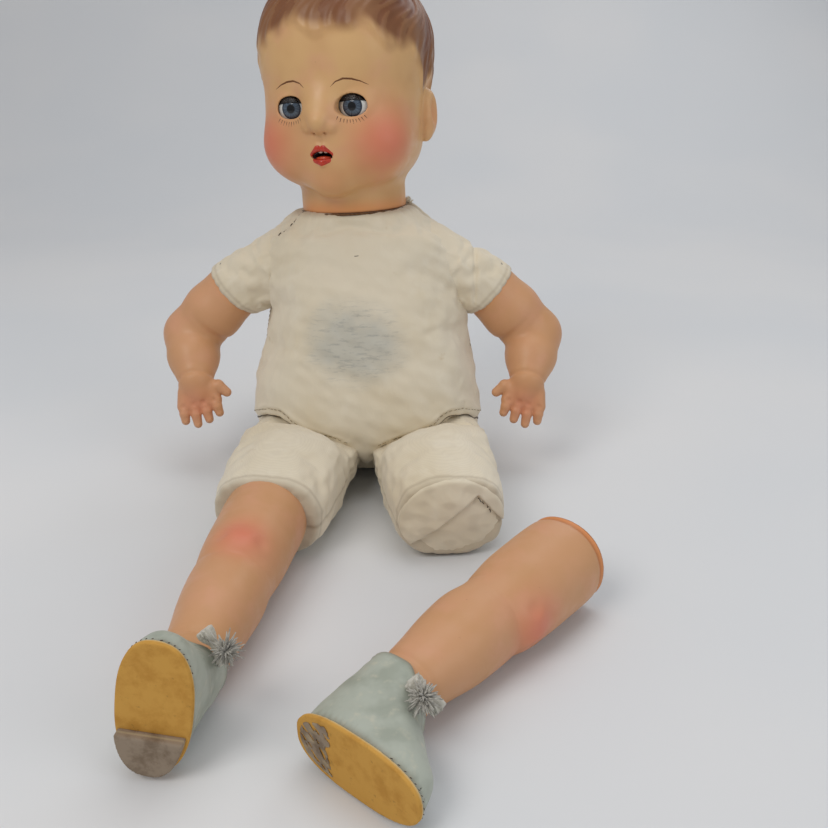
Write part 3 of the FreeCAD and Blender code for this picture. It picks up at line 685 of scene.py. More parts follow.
def make_face_paint():
    for side, name in ((-1, "right"), (1, "left")):
        eye_x = side * EYES[1][0]
        brow = arc_strokes(side, BROW, BROW_WIDTHS)
        reach = sorted((side * 7, side * 32))
        decal("brow_" + name, lambda p, brow=brow: stroke_row(p, brow), (reach[0], -68, 76),
              (reach[1], -40, 86),
              BROW_PAINT, "composition_head")
        lashes = []
        for step in range(10):
            share = step / 9 * 2 - 1
            root = (eye_x + share * 7.6, EYES[0][2] - 6.0 * math.sqrt(1 - (share * 0.78) ** 2) - 1.8)
            tip = (root[0] + share * 1.5 + side * 0.4, root[1] - 2.8 + 0.5 * abs(share))
            lashes.append((root, tip, 0.3, 0.12))
        decal("lower_lashes_" + name, lambda p, lashes=lashes: stroke_row(p, lashes),
              (eye_x - 12, -64, 54), (eye_x + 12, -40, 68), LASH_PAINT, "composition_head")

    def lips(p):
        m = both_sides(p)
        upper = flat_distance(m, (6.4, 39.8), (1.8, 43.2), 1.3, 2.3)
        lower = flat_distance(m, (3.8, 36.6), (0, 35.6), 2.2, 2.7)
        return np.maximum(np.minimum(upper, lower), p[:, 1] + 52)

    decal("lips", lips, (-11, -64, 29), (11, -50, 49), LIP_PAINT, "composition_head", 0.1)

    def lining(p):
        wall = mouth_hollow(p)
        return np.maximum(np.maximum(wall - 0.3, -0.35 - wall), -55.6 - p[:, 1])

    points, faces = surface(lining, (-9, -58, 33), (9, -42, 46), DECAL_GRAIN * 1.2)
    lining_piece = piece_from("mouth_lining", HEAD.outward(points), faces, [FINISHES["mouth_felt"]])
    finish_piece(lining_piece, "head", "mouth_felt", "mouth_liner")

    def teeth(p):
        return egg(both_sides(p), (1.7, -54.6, 41.5), (1.4, 0.8, 1.2), 3)

    points, faces = surface(teeth, (-5, -58, 38), (5, -53, 44), DECAL_GRAIN)
    finish_piece(piece_from("two_teeth", HEAD.outward(points), faces, [FINISHES["tooth_white"]]),
                 "head", "tooth_white", "upper_teeth")
    points, faces = surface(lambda p: egg(p, (0, -54.2, 37.3), (5, 3, 1.4)), (-7, -60, 34), (7, -50, 40),
                            DECAL_GRAIN * 1.3)
    finish_piece(piece_from("tongue_tip", HEAD.outward(points), faces, [TONGUE_PAINT]), "head",
                 "mouth_felt", "tongue")


def make_eyes():
    """Enamelled balls with a painted iris, the dark lid shells over them and their lash edges; the lids'
    near-black is brown lid paint and painted shade under the lashes.
    """
    for eye, name in zip(EYES, ("right", "left")):
        rows, columns = 40, 64
        angles = math.pi * np.linspace(0, 1, rows + 1)[1:-1] ** 1.3
        turns = 2 * math.pi * np.arange(columns) / columns
        angle, turn = (grid.ravel() for grid in np.meshgrid(angles, turns, indexing="ij"))
        ring_points = np.column_stack([np.sin(angle) * np.cos(turn), -np.cos(angle),
                                       np.sin(angle) * np.sin(turn)])
        unit_points = np.vstack([ring_points, [(0, -1, 0), (0, 1, 0)]])
        last = len(ring_points)
        faces = []
        for row in range(rows - 2):
            for column in range(columns):
                after = (column + 1) % columns
                faces.append((row * columns + column, row * columns + after,
                              (row + 1) * columns + after, (row + 1) * columns + column))
        for column in range(columns):
            after = (column + 1) % columns
            faces.append((last, after, column))
            foot = (rows - 2) * columns
            faces.append((foot + column, foot + after, last + 1))
        spread = np.append(angle, (0, math.pi)) / math.radians(29)
        around = np.append(turn, (0, 0))
        paint = {"ring": spread, "spoke_x": np.cos(around) * 2.4 + spread * 0.15,
                 "spoke_y": np.sin(around) * 2.4}
        eyeball = piece_from("eye_" + name, HEAD.outward(eye + unit_points * EYE_RADIUS), faces,
                             [FINISHES["eye_enamel"]], paint)
        finish_piece(eyeball, "eyes", "eye_enamel", "eyeball_" + name)

        def lid(p, eye=eye):
            height = np.arctan2(p[:, 2] - eye[2], -(p[:, 1] - eye[1]))
            radius = np.hypot(p[:, 2] - eye[2], p[:, 1] - eye[1])
            lid_middle = math.radians(75)
            spread = (np.abs(height - lid_middle) - (lid_middle - LID_EDGE)) * np.maximum(radius, 3)
            return np.maximum(np.maximum(np.abs(ball(p, eye, EYE_RADIUS + 0.12)) - 0.16, spread),
                              np.abs(p[:, 0] - eye[0]) - 11.6)

        points, faces = surface(lid, eye - 14, eye + 14, EYE_GRAIN * 0.7)
        finish_piece(piece_from("eyelid_" + name, HEAD.outward(points), faces, [LID_BROWN_AND_SHADE]), "eyes",
                     "eye_enamel")
        edge_points = []
        for step in range(25):
            side = math.radians(-52 + 104 * step / 24)
            reach = (EYE_RADIUS + 0.25)
            level = reach * math.cos(side)
            edge_points.append(eye + vec(reach * math.sin(side), -level * math.cos(LID_EDGE),
                                         level * math.sin(LID_EDGE)))
        add_strand("lash_edge_" + name, HEAD.outward(np.array(edge_points)), 0.32, LASH_BLACK, "eyes",
                   "eye_enamel")


# ------------------------------------------------------------------ threads, seams and stitches
def tube_mesh(path, radius, sides=8, closed=False):
    """Round tube along points in millimetres: its points and faces. radius is one number or one per point."""
    path = np.asarray(path, float)
    count = len(path)
    radii = np.broadcast_to(radius, count)
    ahead = np.roll(path, -1, 0) - np.roll(path, 1, 0)
    if not closed:
        ahead[0], ahead[-1] = path[1] - path[0], path[-1] - path[-2]
    points = []
    up = vec(0.13, 0.29, 0.95)
    for i in range(count):
        forward = unit(ahead[i])
        across = unit(np.cross(up, forward))
        up = np.cross(forward, across)
        for s in range(sides):
            turn = 2 * math.pi * s / sides
            points.append(path[i] + radii[i] * (math.cos(turn) * across + math.sin(turn) * up))
    faces = []
    for i in range(count if closed else count - 1):
        for s in range(sides):
            a, b = i * sides + s, i * sides + (s + 1) % sides
            c, d = (i + 1) % count * sides + (s + 1) % sides, (i + 1) % count * sides + s
            faces.append((a, b, c, d))
    if not closed:
        faces.append(tuple(reversed(range(sides))))
        faces.append(tuple((count - 1) * sides + s for s in range(sides)))
    return np.array(points), faces


def add_tubes(name, tubes, finish, body, slot, *nodes, blend=None, sides=6):
    """One piece made of several tubes, each a path and its radius."""
    all_points, all_faces, offset = [], [], 0
    for path, radius in tubes:
        points, faces = tube_mesh(path, radius, sides)
        all_points.append(points)
        all_faces += [tuple(index + offset for index in face) for face in faces]
        offset += len(points)
    obj = piece_from(name, np.vstack(all_points), all_faces, [finish])
    if blend:
        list(blend[:2])
        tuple(blend[2])
        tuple(blend[3])
        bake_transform(obj)
    else:
        finish_piece(obj, body, slot, *nodes)
    return obj


def add_strand(name, path, radius, finish, body, slot):
    return add_tubes(name, [(path, radius)], finish, body, slot)


# ------------------------------------------------------------------ arms
def arm_field(p):
    """Right arm and hand."""
    middle = HEM + (ELBOW - HEM) * 0.5
    forearm = ELBOW + (WRIST - ELBOW) * 0.5
    form = merge(bar(p, HEM - SLEEVE_AXIS * 6, middle, 19.6, 20.6), bar(p, middle, ELBOW, 20.6, 18.8), 4)
    form = merge(form, bar(p, ELBOW, forearm, 18.8, 17.8), 5)
    form = merge(form, bar(p, forearm, WRIST, 17.6, 12.6), 4)
    fore = unit(WRIST - ELBOW)
    along = (p - WRIST) @ fore
    form = form + 1.3 * bell(along - 1, 1.7)
    bend = (p - (HEM * 0.35 + ELBOW * 0.65)) @ unit(ELBOW - HEM)
    inside = step_up(p[:, 0], -128, -108)
    form = form + 0.9 * bell(bend, 2.2) * inside
    palm = (WRIST + PALM_END) * 0.5
    down = unit(FINGER_END - PALM_END)
    back = unit(np.cross(HAND_SIDE, down))
    back = back if back[1] < 0 else -back
    hand = bar(p, WRIST, palm + HAND_SIDE * 1.5, 10.5, 9.4)
    for finger in range(4):
        offset = HAND_SIDE * ((1.5 - finger) * FINGER_PITCH)
        root = palm + offset * 0.75
        knuckle = PALM_END + offset
        tip = FINGER_END + offset * 1.15
        tip = tip + unit(knuckle - tip) * FINGER_TRIMS[finger]
        middle_joint = (knuckle + tip) * 0.5 + back * 1.2
        hand = merge(hand, bar(p, root, knuckle, 6, 5), 2.5)
        digit = merge(bar(p, knuckle, middle_joint, 3.9, 3.6), bar(p, middle_joint, tip, 3.6, 3.0), 0.8)
        hand = merge(hand, digit, 1.1)
        hand = carve(hand, ball(p, knuckle + back * 5.6, 1.7), 1.6)
        nail = tip + back * 2.7
        hand = merge(hand, egg((p - nail) @ np.array([HAND_SIDE, back, down]).T, (0, 0, 0),
                               (1.9, 0.7, 2.0)), 0.25)
    thumb_root = palm + HAND_SIDE * 8
    thumb_joint = thumb_root + HAND_SIDE * 7 + vec(0, -1, 1.0)
    thumb_tip = thumb_root + HAND_SIDE * 13 + vec(0, -2, -5)
    hand = merge(hand, bar(p, thumb_root, thumb_joint, 5.6, 4.2), 2.5)
    hand = merge(hand, bar(p, thumb_joint, thumb_tip, 4.1, 3.3), 1)
    form = merge(form, hand, 3)
    cut = -(p - HEM) @ SLEEVE_AXIS - 5
    return common(form, cut, 0.6)


def make_arms():
    points, faces = surface(arm_field, (-150, -56, 34), (-78, 24, 156), LIMB_GRAIN * 0.85)
    from_hem = (points - HEM) @ SLEEVE_AXIS
    knuckles = bell(np.linalg.norm(points - PALM_END, axis=1), 13)
    elbow = bell(np.linalg.norm(points - (ELBOW + vec(-10, 8, -12)), axis=1), 17)
    paint = {
        "blush": 0.5 * knuckles + 0.35 * elbow, "hair": np.zeros(len(points)),
        "rim": 0.3 * step_up(-from_hem, -7, 0),
        # painted shade: a darker band where the arm goes under the sleeve's hem
        "grime": 0.5 * bell(from_hem - 0.8, 1.2)}
    for name in ("right", "left"):
        shown, shown_faces = (points, faces) if name == "right" else mirrored(points, faces, BODY_MIDDLE_X)
        arm = piece_from("arm_" + name, shown, shown_faces, [FINISHES["composition_limb"]], paint)
        finish_piece(arm, "arm_" + name, "composition_limb", "arm_" + name + "_shell")


# ------------------------------------------------------------------ legs and shoes
LEG_OUTLINES = (
    (0, 24.3, 0, 24.3), (10, 24.9, 0, 24.9), (30, 24.3, 0, 25), (50, 23.6, 0.3, 24.2), (63, 22.6, 0.9, 22.6),
    (72, 21.6, 0.4, 20.8), (86, 21.6, -0.9, 21.6), (102, 20.2, -0.6, 21), (124, 17, -0.3, 17.6), (140, 15.3,
        0, 15.8),
    (150, 14.4, 0.4, 15), (160, 12.5, 0.4, 13.4), (176, 12, 0.4, 12.6))
SHOE_OUTLINES = (
    (134, 17.5, -0.1, 18.3), (139, 17.6, -0.1, 18.5), (150, 17.4, 1.8, 20.7), (161, 16.8, 7, 26),
    (173, 16.4, 14.1, 32.9), (184, 16.2, 16.7, 34.3))
SOLE_TOP = 184
SOLE_FOOT = 186.5
SOLE_HALF = (16.4, 34.5)
SOLE_MIDDLE = 16.5
HEEL_LIFT = 5
RIM_BORE = 20.8


def leg_field(p):
    form = outline_tube(p, LEG_OUTLINES, 2.15)
    form = common(form, np.abs(p[:, 2] - 87) - 86.4, 1.2)
    m = both_sides(p)
    form = merge(form, egg(p, (0, 15.5, 64), (12, 8.6, 10)), 6)
    form = form + 0.5 * bell(p[:, 2] - 74 - 0.03 * p[:, 1], 2.2) * step_up(p[:, 1], -2, 16)
    form = carve(form, ball(m, (13.5, 25.5, 64), 4), 5)
    form = form + 0.6 * bell(p[:, 2] - 68, 1.8) * step_up(-p[:, 1], 2, 16)
    form = form + 0.9 * bell(p[:, 2] - 134, 2.0)
    form = form + 0.9 * bell(p[:, 2] - 4.3, 1.5)
    bore = np.maximum(np.hypot(p[:, 0], p[:, 1]) - RIM_BORE, p[:, 2] - 46)
    return carve(form, bore, 0.8)


def shoe_form(p):
    return outline_tube(p, SHOE_OUTLINES, 2.2) * 0.8


def mouth_edge(p):
    """Height of the shoe's mouth along the leg: lower in front, where the opening dips."""
    return 139 + 7.5 * step_up(p[:, 1], 4, 19) + 0.7 * np.sin(p[:, 0] * 0.5)


def make_shoe_upper(name, place, medial):
    def field(p):
        outer = shoe_form(p)
        shell = np.maximum(outer, -(outer + 1.7))
        lip = mouth_edge(p)
        shell = common(shell, lip - p[:, 2], 0.8)
        shell = common(shell, p[:, 2] - SOLE_TOP, 0.5)
        binding = np.hypot(outer + 0.7, p[:, 2] - lip - 0.6) - 1.25
        shell = merge(shell, binding, 0.5)
        eyelet = np.hypot(p[:, 1] - 9, p[:, 2] - lip - 7) - 1.5
        shell = carve(shell, np.maximum(eyelet, 6 + medial * p[:, 0]), 0.4)
        gather = 0.25 * np.sin(np.arctan2(p[:, 0], p[:, 1] - SOLE_MIDDLE) * 46) * bell(p[:,
            2] - SOLE_TOP + 2, 3)
        crease = 0.6 * ripple(p, 17, 8) * step_up(p[:, 2], 142, 150)
        return shell - gather * 0.6 - crease * 0.6 * bell(outer, 4)

    points, faces = surface(field, (-24, -26, 128), (24, 64, 190), SHOE_GRAIN)
    outer = shoe_form(points)
    near_sole = bell(points[:, 2] - SOLE_TOP, 2.0)
    # painted shade on the inner face inside the shoe, and darker along the sole and round the mouth
    paint = {"grime": np.clip(0.55 * near_sole + 0.5 * bell(points[:, 2] - mouth_edge(points), 1.2)
                              + 0.5 * (outer < -1.0), 0, 0.8)}
    upper = piece_from("shoe_upper_" + name, place.outward(points), faces, [FINISHES["oilcloth"]], paint)
    finish_piece(upper, "leg_" + name, "oilcloth", "shoe_" + name + "_upper")


def sole_field(p, low, high, inset):
    """Plate with the sole's outline between two distances down the leg."""
    across = np.abs(p[:, 0]) / (SOLE_HALF[0] - inset) + 1e-9
    along = np.abs(p[:, 1] - SOLE_MIDDLE) / (SOLE_HALF[1] - inset) + 1e-9
    level = (across ** 2.5 + along ** 2.5) ** 0.4
    slope = np.hypot(across ** 1.5 / SOLE_HALF[0], along ** 1.5 / SOLE_HALF[1]) / level ** 1.5
    middle = (low + high) / 2
    return common((level - 1) / slope, np.abs(p[:, 2] - middle) - (high - low) / 2, 0.5)


def rim_path(height, inset, count, start=0.0, end=2 * math.pi):
    """Points around the sole's outline in the leg's frame."""
    points = []
    for step in range(count):
        turn = start + (end - start) * step / count
        across = math.copysign(abs(math.cos(turn)) ** 0.8, math.cos(turn))
        along = math.copysign(abs(math.sin(turn)) ** 0.8, math.sin(turn))
        points.append(vec((SOLE_HALF[0] - inset) * across, SOLE_MIDDLE + (SOLE_HALF[1] - inset) * along,
                          height))
    return np.array(points)


def make_sole(name, place, has_heel):
    body = "leg_" + name
    points, faces = surface(lambda p: sole_field(p, SOLE_TOP - 0.1, SOLE_FOOT, -0.4), (-24, -24, 180),
                            (24, 64, 190), 0.8)
    paint = {"edge": 0.75 * step_up(-points[:, 2], -SOLE_TOP - 1.0, -SOLE_TOP)}
    sole = piece_from("sole_" + name, place.outward(points), faces, [FINISHES["sole_card"]], paint)
    finish_piece(sole, body, "sole_card", "shoe_" + name + "_sole")
    tubes = []
    rim = rim_path(SOLE_TOP, 0, 90)
    for step in range(0, 90, 2):
        if rim[step][1] > 34:
            outward = unit((rim[step] - vec(0, SOLE_MIDDLE, SOLE_TOP)) * vec(1, 0.3, 0))
            start = rim[step] + outward * 0.2 + vec(0, 0, -0.8)
            tubes.append(([place.outward(start),
                           place.outward((start + rim[step + 1] + outward * 0.2) / 2)], 0.18))
    add_tubes("sole_stitches_" + name, tubes, DARK_THREAD, body, "cord")
    if has_heel:
        def heel(p):
            plate = sole_field(p, SOLE_FOOT - 0.1, SOLE_FOOT + HEEL_LIFT, 0.9)
            return common(plate, p[:, 1] - 3.8 - 0.1 * p[:, 0], 0.8)

        points, faces = surface(heel, (-24, -24, 182), (24, 20, 196), 0.8)
        paint = {"edge": 0.3 * bell(points[:, 2] - SOLE_FOOT - 2.4, 0.5)}
        lift = piece_from("heel_lift_" + name, place.outward(points), faces, [FINISHES["heel_lift"]], paint)
        finish_piece(lift, body, "heel_lift", "shoe_" + name + "_heel")
    else:
        def glue(p):
            plate = sole_field(p, SOLE_FOOT - 0.3, SOLE_FOOT + 0.45, 2.2)
            return common(plate, p[:, 1] - 2 - 1.8 * ripple(p, 11, 5), 0.4) + 0.1 * ripple(p, 3.2, 9)

        points, faces = surface(glue, (-24, -24, 182), (24, 20, 190), 0.7)
        paint = {"edge": 0.2 * step_up(ripple(points, 6, 2), 0, 1)}
        patch = piece_from("glue_patch_" + name, place.outward(points), faces, [FINISHES["heel_lift"]], paint)
        finish_piece(patch, body, "heel_lift")


def make_pompom(name, place, medial):
    """Gathered ribbon bunch and a teased pompom on the shoe's mouth."""
    chance = np.random.default_rng(11 if name == "right" else 12)
    centre = vec(medial * 19.5, 25.5, 153)
    tubes = []
    for _ in range(150):
        direction = unit(chance.normal(size=3))
        start = centre + direction * 1.0
        bend = chance.normal(size=3) * 0.9
        middle = centre + direction * 4.2 + bend
        end = centre + direction * chance.uniform(5.4, 7.2) + bend * 1.6
        tubes.append(([start, middle, end], vec(0.62, 0.5, 0.2)))
    tubes = [(place.outward(np.array(path)), radius) for path, radius in tubes]
    add_tubes("pompom_" + name, tubes, FINISHES["pompom_yarn"], "leg_" + name, "pompom_yarn",
              "shoe_" + name + "_pompom", sides=5)

    def bunch(p):
        start, end = vec(medial * 17.3, 16.3, 147), vec(medial * 8.1, 24.2, 144)
        axis = unit(end - start)
        side = p - (start + end) / 2
        along = side @ axis
        radius = np.linalg.norm(side - along[:, None] * axis, axis=1)
        turn = np.arctan2(side @ vec(0, 0, 1), side @ unit(np.cross(axis, vec(0, 0, 1))))
        waist = 2.1 + 1.5 * step_up(np.abs(along), 1, 7)
        pleats = 0.75 * np.sin(turn * 9 + along * 0.25) * step_up(np.abs(along), 0.5, 4)
        return common(radius - waist - pleats, np.abs(along) - 9, 0.6) * 0.7

    points, faces = surface(bunch, (-26, 4, 134), (26, 34, 156), 0.6)
    finish_piece(piece_from("ribbon_" + name, place.outward(points), faces, [FINISHES["ribbon"]]),
                 "leg_" + name, "ribbon", "shoe_" + name + "_tie")


def make_legs():
    points, faces = surface(leg_field, (-28, -29, -2), (28, 31, 176), LIMB_GRAIN)
    knee = 0.85 * bell(np.linalg.norm(points - vec(0, 22, 63), axis=1), 14)
    inner = (np.hypot(points[:, 0], points[:, 1]) < RIM_BORE + 0.6) & (points[:, 2] < 48)
    rim = step_up(-points[:, 2], -6, -4.6)
    open_end = bell(points[:, 2] - 0.7, 0.8)
    paint = {"blush": knee, "hair": np.zeros(len(points)), "rim": np.clip(0.75 * rim, 0, 1),
             # dark paint values: a darker line along the open end, and painted shade inside the bore and in the
             # groove below the rim
             "grime": np.clip(0.8 * open_end + 0.75 * inner + 0.35 * bell(points[:, 2] - 4.3, 1.0), 0, 0.9)}
    for name, place, medial, has_heel in (("right", RIGHT_LEG, 1, True), ("left", LEFT_LEG, -1, False)):
        leg = piece_from("leg_" + name, place.outward(points), faces, [FINISHES["composition_limb"]], paint)
        finish_piece(leg, "leg_" + name, "composition_limb", "leg_" + name + "_shell")
        make_shoe_upper(name, place, medial)
        make_sole(name, place, has_heel)
        make_pompom(name, place, medial)


# ------------------------------------------------------------------ stuffed cloth
TORSO_OUTLINES = (
    (0, 62, -2, 30), (6, 70, -5, 38), (18, 76, -14, 48), (40, 79, -22, 54), (70, 78, -21, 53), (100, 71.5,
        -16, 49),
    (130, 67.5, -9, 45), (150, 68, -4, 41), (160, 66, -2, 39.5), (168, 60, -1, 38), (176, 51, 1, 37),
    (182, 43, 1.5, 36.5), (186, 38, 2, 36.5))
PUFF_LIMIT = 5.0
FLAP_CORNER = (15, 16)
SLEEVE_ROOT = (-2.5, -13.1, -17.6)     # in the sleeve's own frame
SLEEVE_END = SLEEVE_LENGTH + 4         # the hem lies loosely over the arm


def torso_field(p):
    middle_x = 2 - 8 * p[:, 2] / 183 + 3.5 * bell(p[:, 2] - 112, 26)
    form = outline_tube(p, TORSO_OUTLINES, 2.3, middle_x)
    form = common(form, -p[:, 2] + 0.4, 4)
    across = np.abs(p[:, 0])
    crease_height = np.minimum(27 + 0.4 * across, 72 - 0.35 * across) - 9 * bell(across, 9)
    behind = 1 - step_up(-p[:, 1], 34, 52)
    form = common(form, 0.45 * (crease_height - p[:, 2]) - 27 * behind, 5)
    neck = (p - NECK) @ HEAD.axes[2]
    return common(form, neck - 0.6, 2.5)


def right_side(p, plane_x):
    """The points folded onto the doll's right side."""
    return np.column_stack([plane_x - np.abs(p[:, 0] - plane_x), p[:, 1], p[:, 2]])


THIGH_PLACE = place_along(HIP, THIGH_HEM - HIP, vec(0, 0, 1))
THIGH_RUN = float(np.linalg.norm(THIGH_HEM - HIP))


def thigh_field(p):
    """Right thigh in its own frame, +Z to the hem, flat on top where it leaves the belly."""
    run = p[:, 2]
    spots = (-24, -8, 20, 60, 95, THIGH_RUN - 6, THIGH_RUN)
    width = curve_through(run, spots, (33, 37.5, 39, 38, 35.5, 33, 32))
    under = curve_through(run, spots, (26, 29.4, 30, 29, 28, 26.8, 25.8))
    over = curve_through(run, (-24, 10, 26, 50, 70, 95, THIGH_RUN), (14, 16, 17, 26, 29, 28, 25.8))
    over = over * (1 - 0.4 * np.clip(p[:, 0] / 37, -1, 1) * step_up(-run, -75, -30))
    height = np.where(p[:, 1] > 0, over, under)
    across = np.abs(p[:, 0]) / width + 1e-9
    along = np.abs(p[:, 1]) / height + 1e-9
    level = (across ** 2.5 + along ** 2.5) ** 0.4
    slope = np.hypot(across ** 1.5 / width, along ** 1.5 / height) / level ** 1.5
    form = common((level - 1) / slope, -22 - run, 14)
    return common(form, run - THIGH_RUN, 1.0)


def sleeve_field(p):
    """Right sleeve in its own frame, +Z to the hem: a round cone from inside the shoulder."""
    cone = bar(p, SLEEVE_ROOT, (0, 0, SLEEVE_END), 25.5, 21.4)
    return common(cone, p[:, 2] - SLEEVE_END, 0.8)


def puff(obj, pinned, pressure, growth, limit):
    """Fills the piece like a stuffed bag: cloth under pressure, held where pinned, moved up to the limit."""
    mesh = obj.data
    start = np.array([v.co for v in mesh.vertices])
    group = obj.vertex_groups.new(name="held")
    for index, weight in enumerate(pinned):
        if weight > 0.01:
            group.add([index], float(weight), "REPLACE")
    modifier = obj.modifiers.new("cloth", "CLOTH")
    modifier.settings.quality = 6
    modifier.settings.mass = 0.15
    modifier.settings.tension_stiffness = 18
    modifier.settings.compression_stiffness = 12
    modifier.settings.bending_stiffness = 0.4
    modifier.settings.use_pressure = True
    modifier.settings.uniform_pressure_force = pressure
    modifier.settings.shrink_min = -growth
    modifier.settings.vertex_group_mass = group.name
    modifier.settings.effector_weights.gravity = 0
    modifier.collision_settings.use_collision = False
    scene = bpy.context.scene
    for step in range(1, 21):
        scene.frame_set(step)
        bpy.context.view_layer.update()
    moved = obj.evaluated_get(bpy.context.evaluated_depsgraph_get()).data
    end = np.array([v.co for v in moved.vertices])
    obj.modifiers.remove(modifier)
    obj.vertex_groups.remove(group)
    scene.frame_set(1)
    move = end - start
    length = np.linalg.norm(move, axis=1)[:, None] + 1e-9
    move = move * np.tanh(length / (limit * MM)) * (limit * MM) / length
    mesh.vertices.foreach_set("co", (start + move).astype(np.float32).ravel())
    mesh.update()


def refine(obj, times):
    """Smooth subdivision, applied."""
    modifier = obj.modifiers.new("finer", "SUBSURF")
    modifier.levels = times
    modifier.render_levels = times
    fine = bpy.data.meshes.new_from_object(obj.evaluated_get(bpy.context.evaluated_depsgraph_get()))
    fine.name = obj.data.name
    obj.modifiers.clear()
    obj.data = fine
    fine.shade_smooth()


def points_of(obj):
    """The piece's points in millimetres and their outward directions."""
    mesh = obj.data
    co = np.empty(len(mesh.vertices) * 3)
    mesh.vertices.foreach_get("co", co)
    normals = np.empty(len(mesh.vertices) * 3)
    mesh.vertex_normals.foreach_get("vector", normals)
    return co.reshape(-1, 3) / MM, normals.reshape(-1, 3)


def emboss(obj, lift):
    """Moves each point along its own outward direction, by millimetres."""
    points, normals = points_of(obj)
    moved = (points + normals * lift[:, None]) * MM
    obj.data.vertices.foreach_set("co", moved.astype(np.float32).ravel())
    obj.data.update()


def rest_on_floor(obj, points):
    """Flattens whatever part of the piece would reach under the floor."""
    points[:, 2] = np.maximum(points[:, 2], 0.1)
    obj.data.vertices.foreach_set("co", (points * MM).astype(np.float32).ravel())
    obj.data.update()


def set_paint(obj, **paint):
    for key, values in paint.items():
        attribute = obj.data.attributes.get(key) or obj.data.attributes.new(key, "FLOAT", "POINT")
        attribute.data.foreach_set("value", values.astype(np.float32))


def line_gap(p, path):
    """Distance from a chain of straight runs."""
    total = np.full(len(p), 999.0)
    for start, end in zip(path[:-1], path[1:]):
        total = np.minimum(total, bar(p, start, end, 0))
    return total


def side_seam_gap(p):
    return p[:, 1] + 29.5 - 32 / 183 * p[:, 2]


HIP_CREASE = ((-84, -28, 38), (-79, -42, 44), (-70, -52, 49), (-58, -62, 51), (-40, -68, 44),
              (-20, -75, 36), (-8, -79, 31))
BELLY_FOLDS = (((68, -38, 118), (41, -58, 111)), ((-42, -64, 91), (-19, -72, 74)))
STAMP = vec(-6, -66, 108)


def make_torso():
    points, faces = surface(torso_field, (-88, -84, -4), (92, 44, 192), CLOTH_GRAIN)
    torso = piece_from("torso_cover", points, faces, [FINISHES["muslin"]])
    neck_gap = -((points - NECK) @ HEAD.axes[2])
    folded = right_side(points, BODY_MIDDLE_X)
    armhole = np.linalg.norm(folded - SHOULDER, axis=1)
    held = np.maximum.reduce([
        step_up(-neck_gap, -10, -2), step_up(-points[:, 2], -7, -2), bell(side_seam_gap(points), 3.5),
        0.9 * step_up(-armhole, -30, -20), 0.8 * bell(line_gap(right_side(points, 0), HIP_CREASE), 5)])
    puff(torso, held, 4.0, 0.035, PUFF_LIMIT)
    refine(torso, 2)
    points, _ = points_of(torso)
    folded = right_side(points, BODY_MIDDLE_X)
    neck_gap = -((points - NECK) @ HEAD.axes[2])
    around = np.arctan2(points[:, 0] - NECK[0], points[:, 1] - NECK[1])
    gathers = np.sin(around * 31 + 2 * np.sin(around * 3)) + 0.6 * np.sin(around * 53 + 1)
    crease_gap = line_gap(right_side(points, 0), HIP_CREASE)
    second_gap = line_gap(right_side(points, 0) - vec(0, -3, 7), HIP_CREASE)
    shoulder = folded - SHOULDER
    lift = (0.12 * gathers * bell(neck_gap - 2, 7) - 1.1 * bell(side_seam_gap(points), 1.1)
            + 0.5 * bell(side_seam_gap(points) - 2.4, 1.6)
            - 1.6 * bell(crease_gap, 2.2) - 1.0 * bell(second_gap, 1.2) + 0.7 * bell(second_gap - 2.6, 1.6)
            + 0.55 * ripple(points, 26, 21) + 0.22 * ripple(points, 9, 22))
    pulls = np.sin(shoulder[:, 1] * 0.55 + shoulder[:, 2] * 0.5) * bell(np.linalg.norm(shoulder,
        axis=1) - 27, 12)
    lift = lift + 0.35 * pulls
    for fold in BELLY_FOLDS:
        lift = lift - 0.9 * bell(line_gap(points, fold), 3)
    emboss(torso, lift)
    points, _ = points_of(torso)
    rest_on_floor(torso, points)
    seen = (points - STAMP) / vec(36, 30, 31)
    stamp = step_up(-np.linalg.norm(seen, axis=1) + 0.06 * ripple(points, 24, 51), -1.15,
                    -0.5) * (points[:, 1] < -30)
    # painted shade in the hip crease, the side seams, near the floor and round the neck; the small spot on the
    # left side is a stain
    grime = (0.6 * bell(crease_gap, 1.6) + 0.3 * bell(side_seam_gap(points), 1.2)
             + 0.35 * step_up(-points[:, 2], -6, 0) + 0.4 * bell(neck_gap, 2.0)
             + 0.75 * bell(np.linalg.norm(points - vec(75, -40, 92), axis=1), 3))
    set_paint(torso, stamp=stamp, grime=np.clip(grime, 0, 0.8))
    finish_piece(torso, "torso", "muslin", "torso_front_panel", "torso_back_panel", "torso_stuffing")


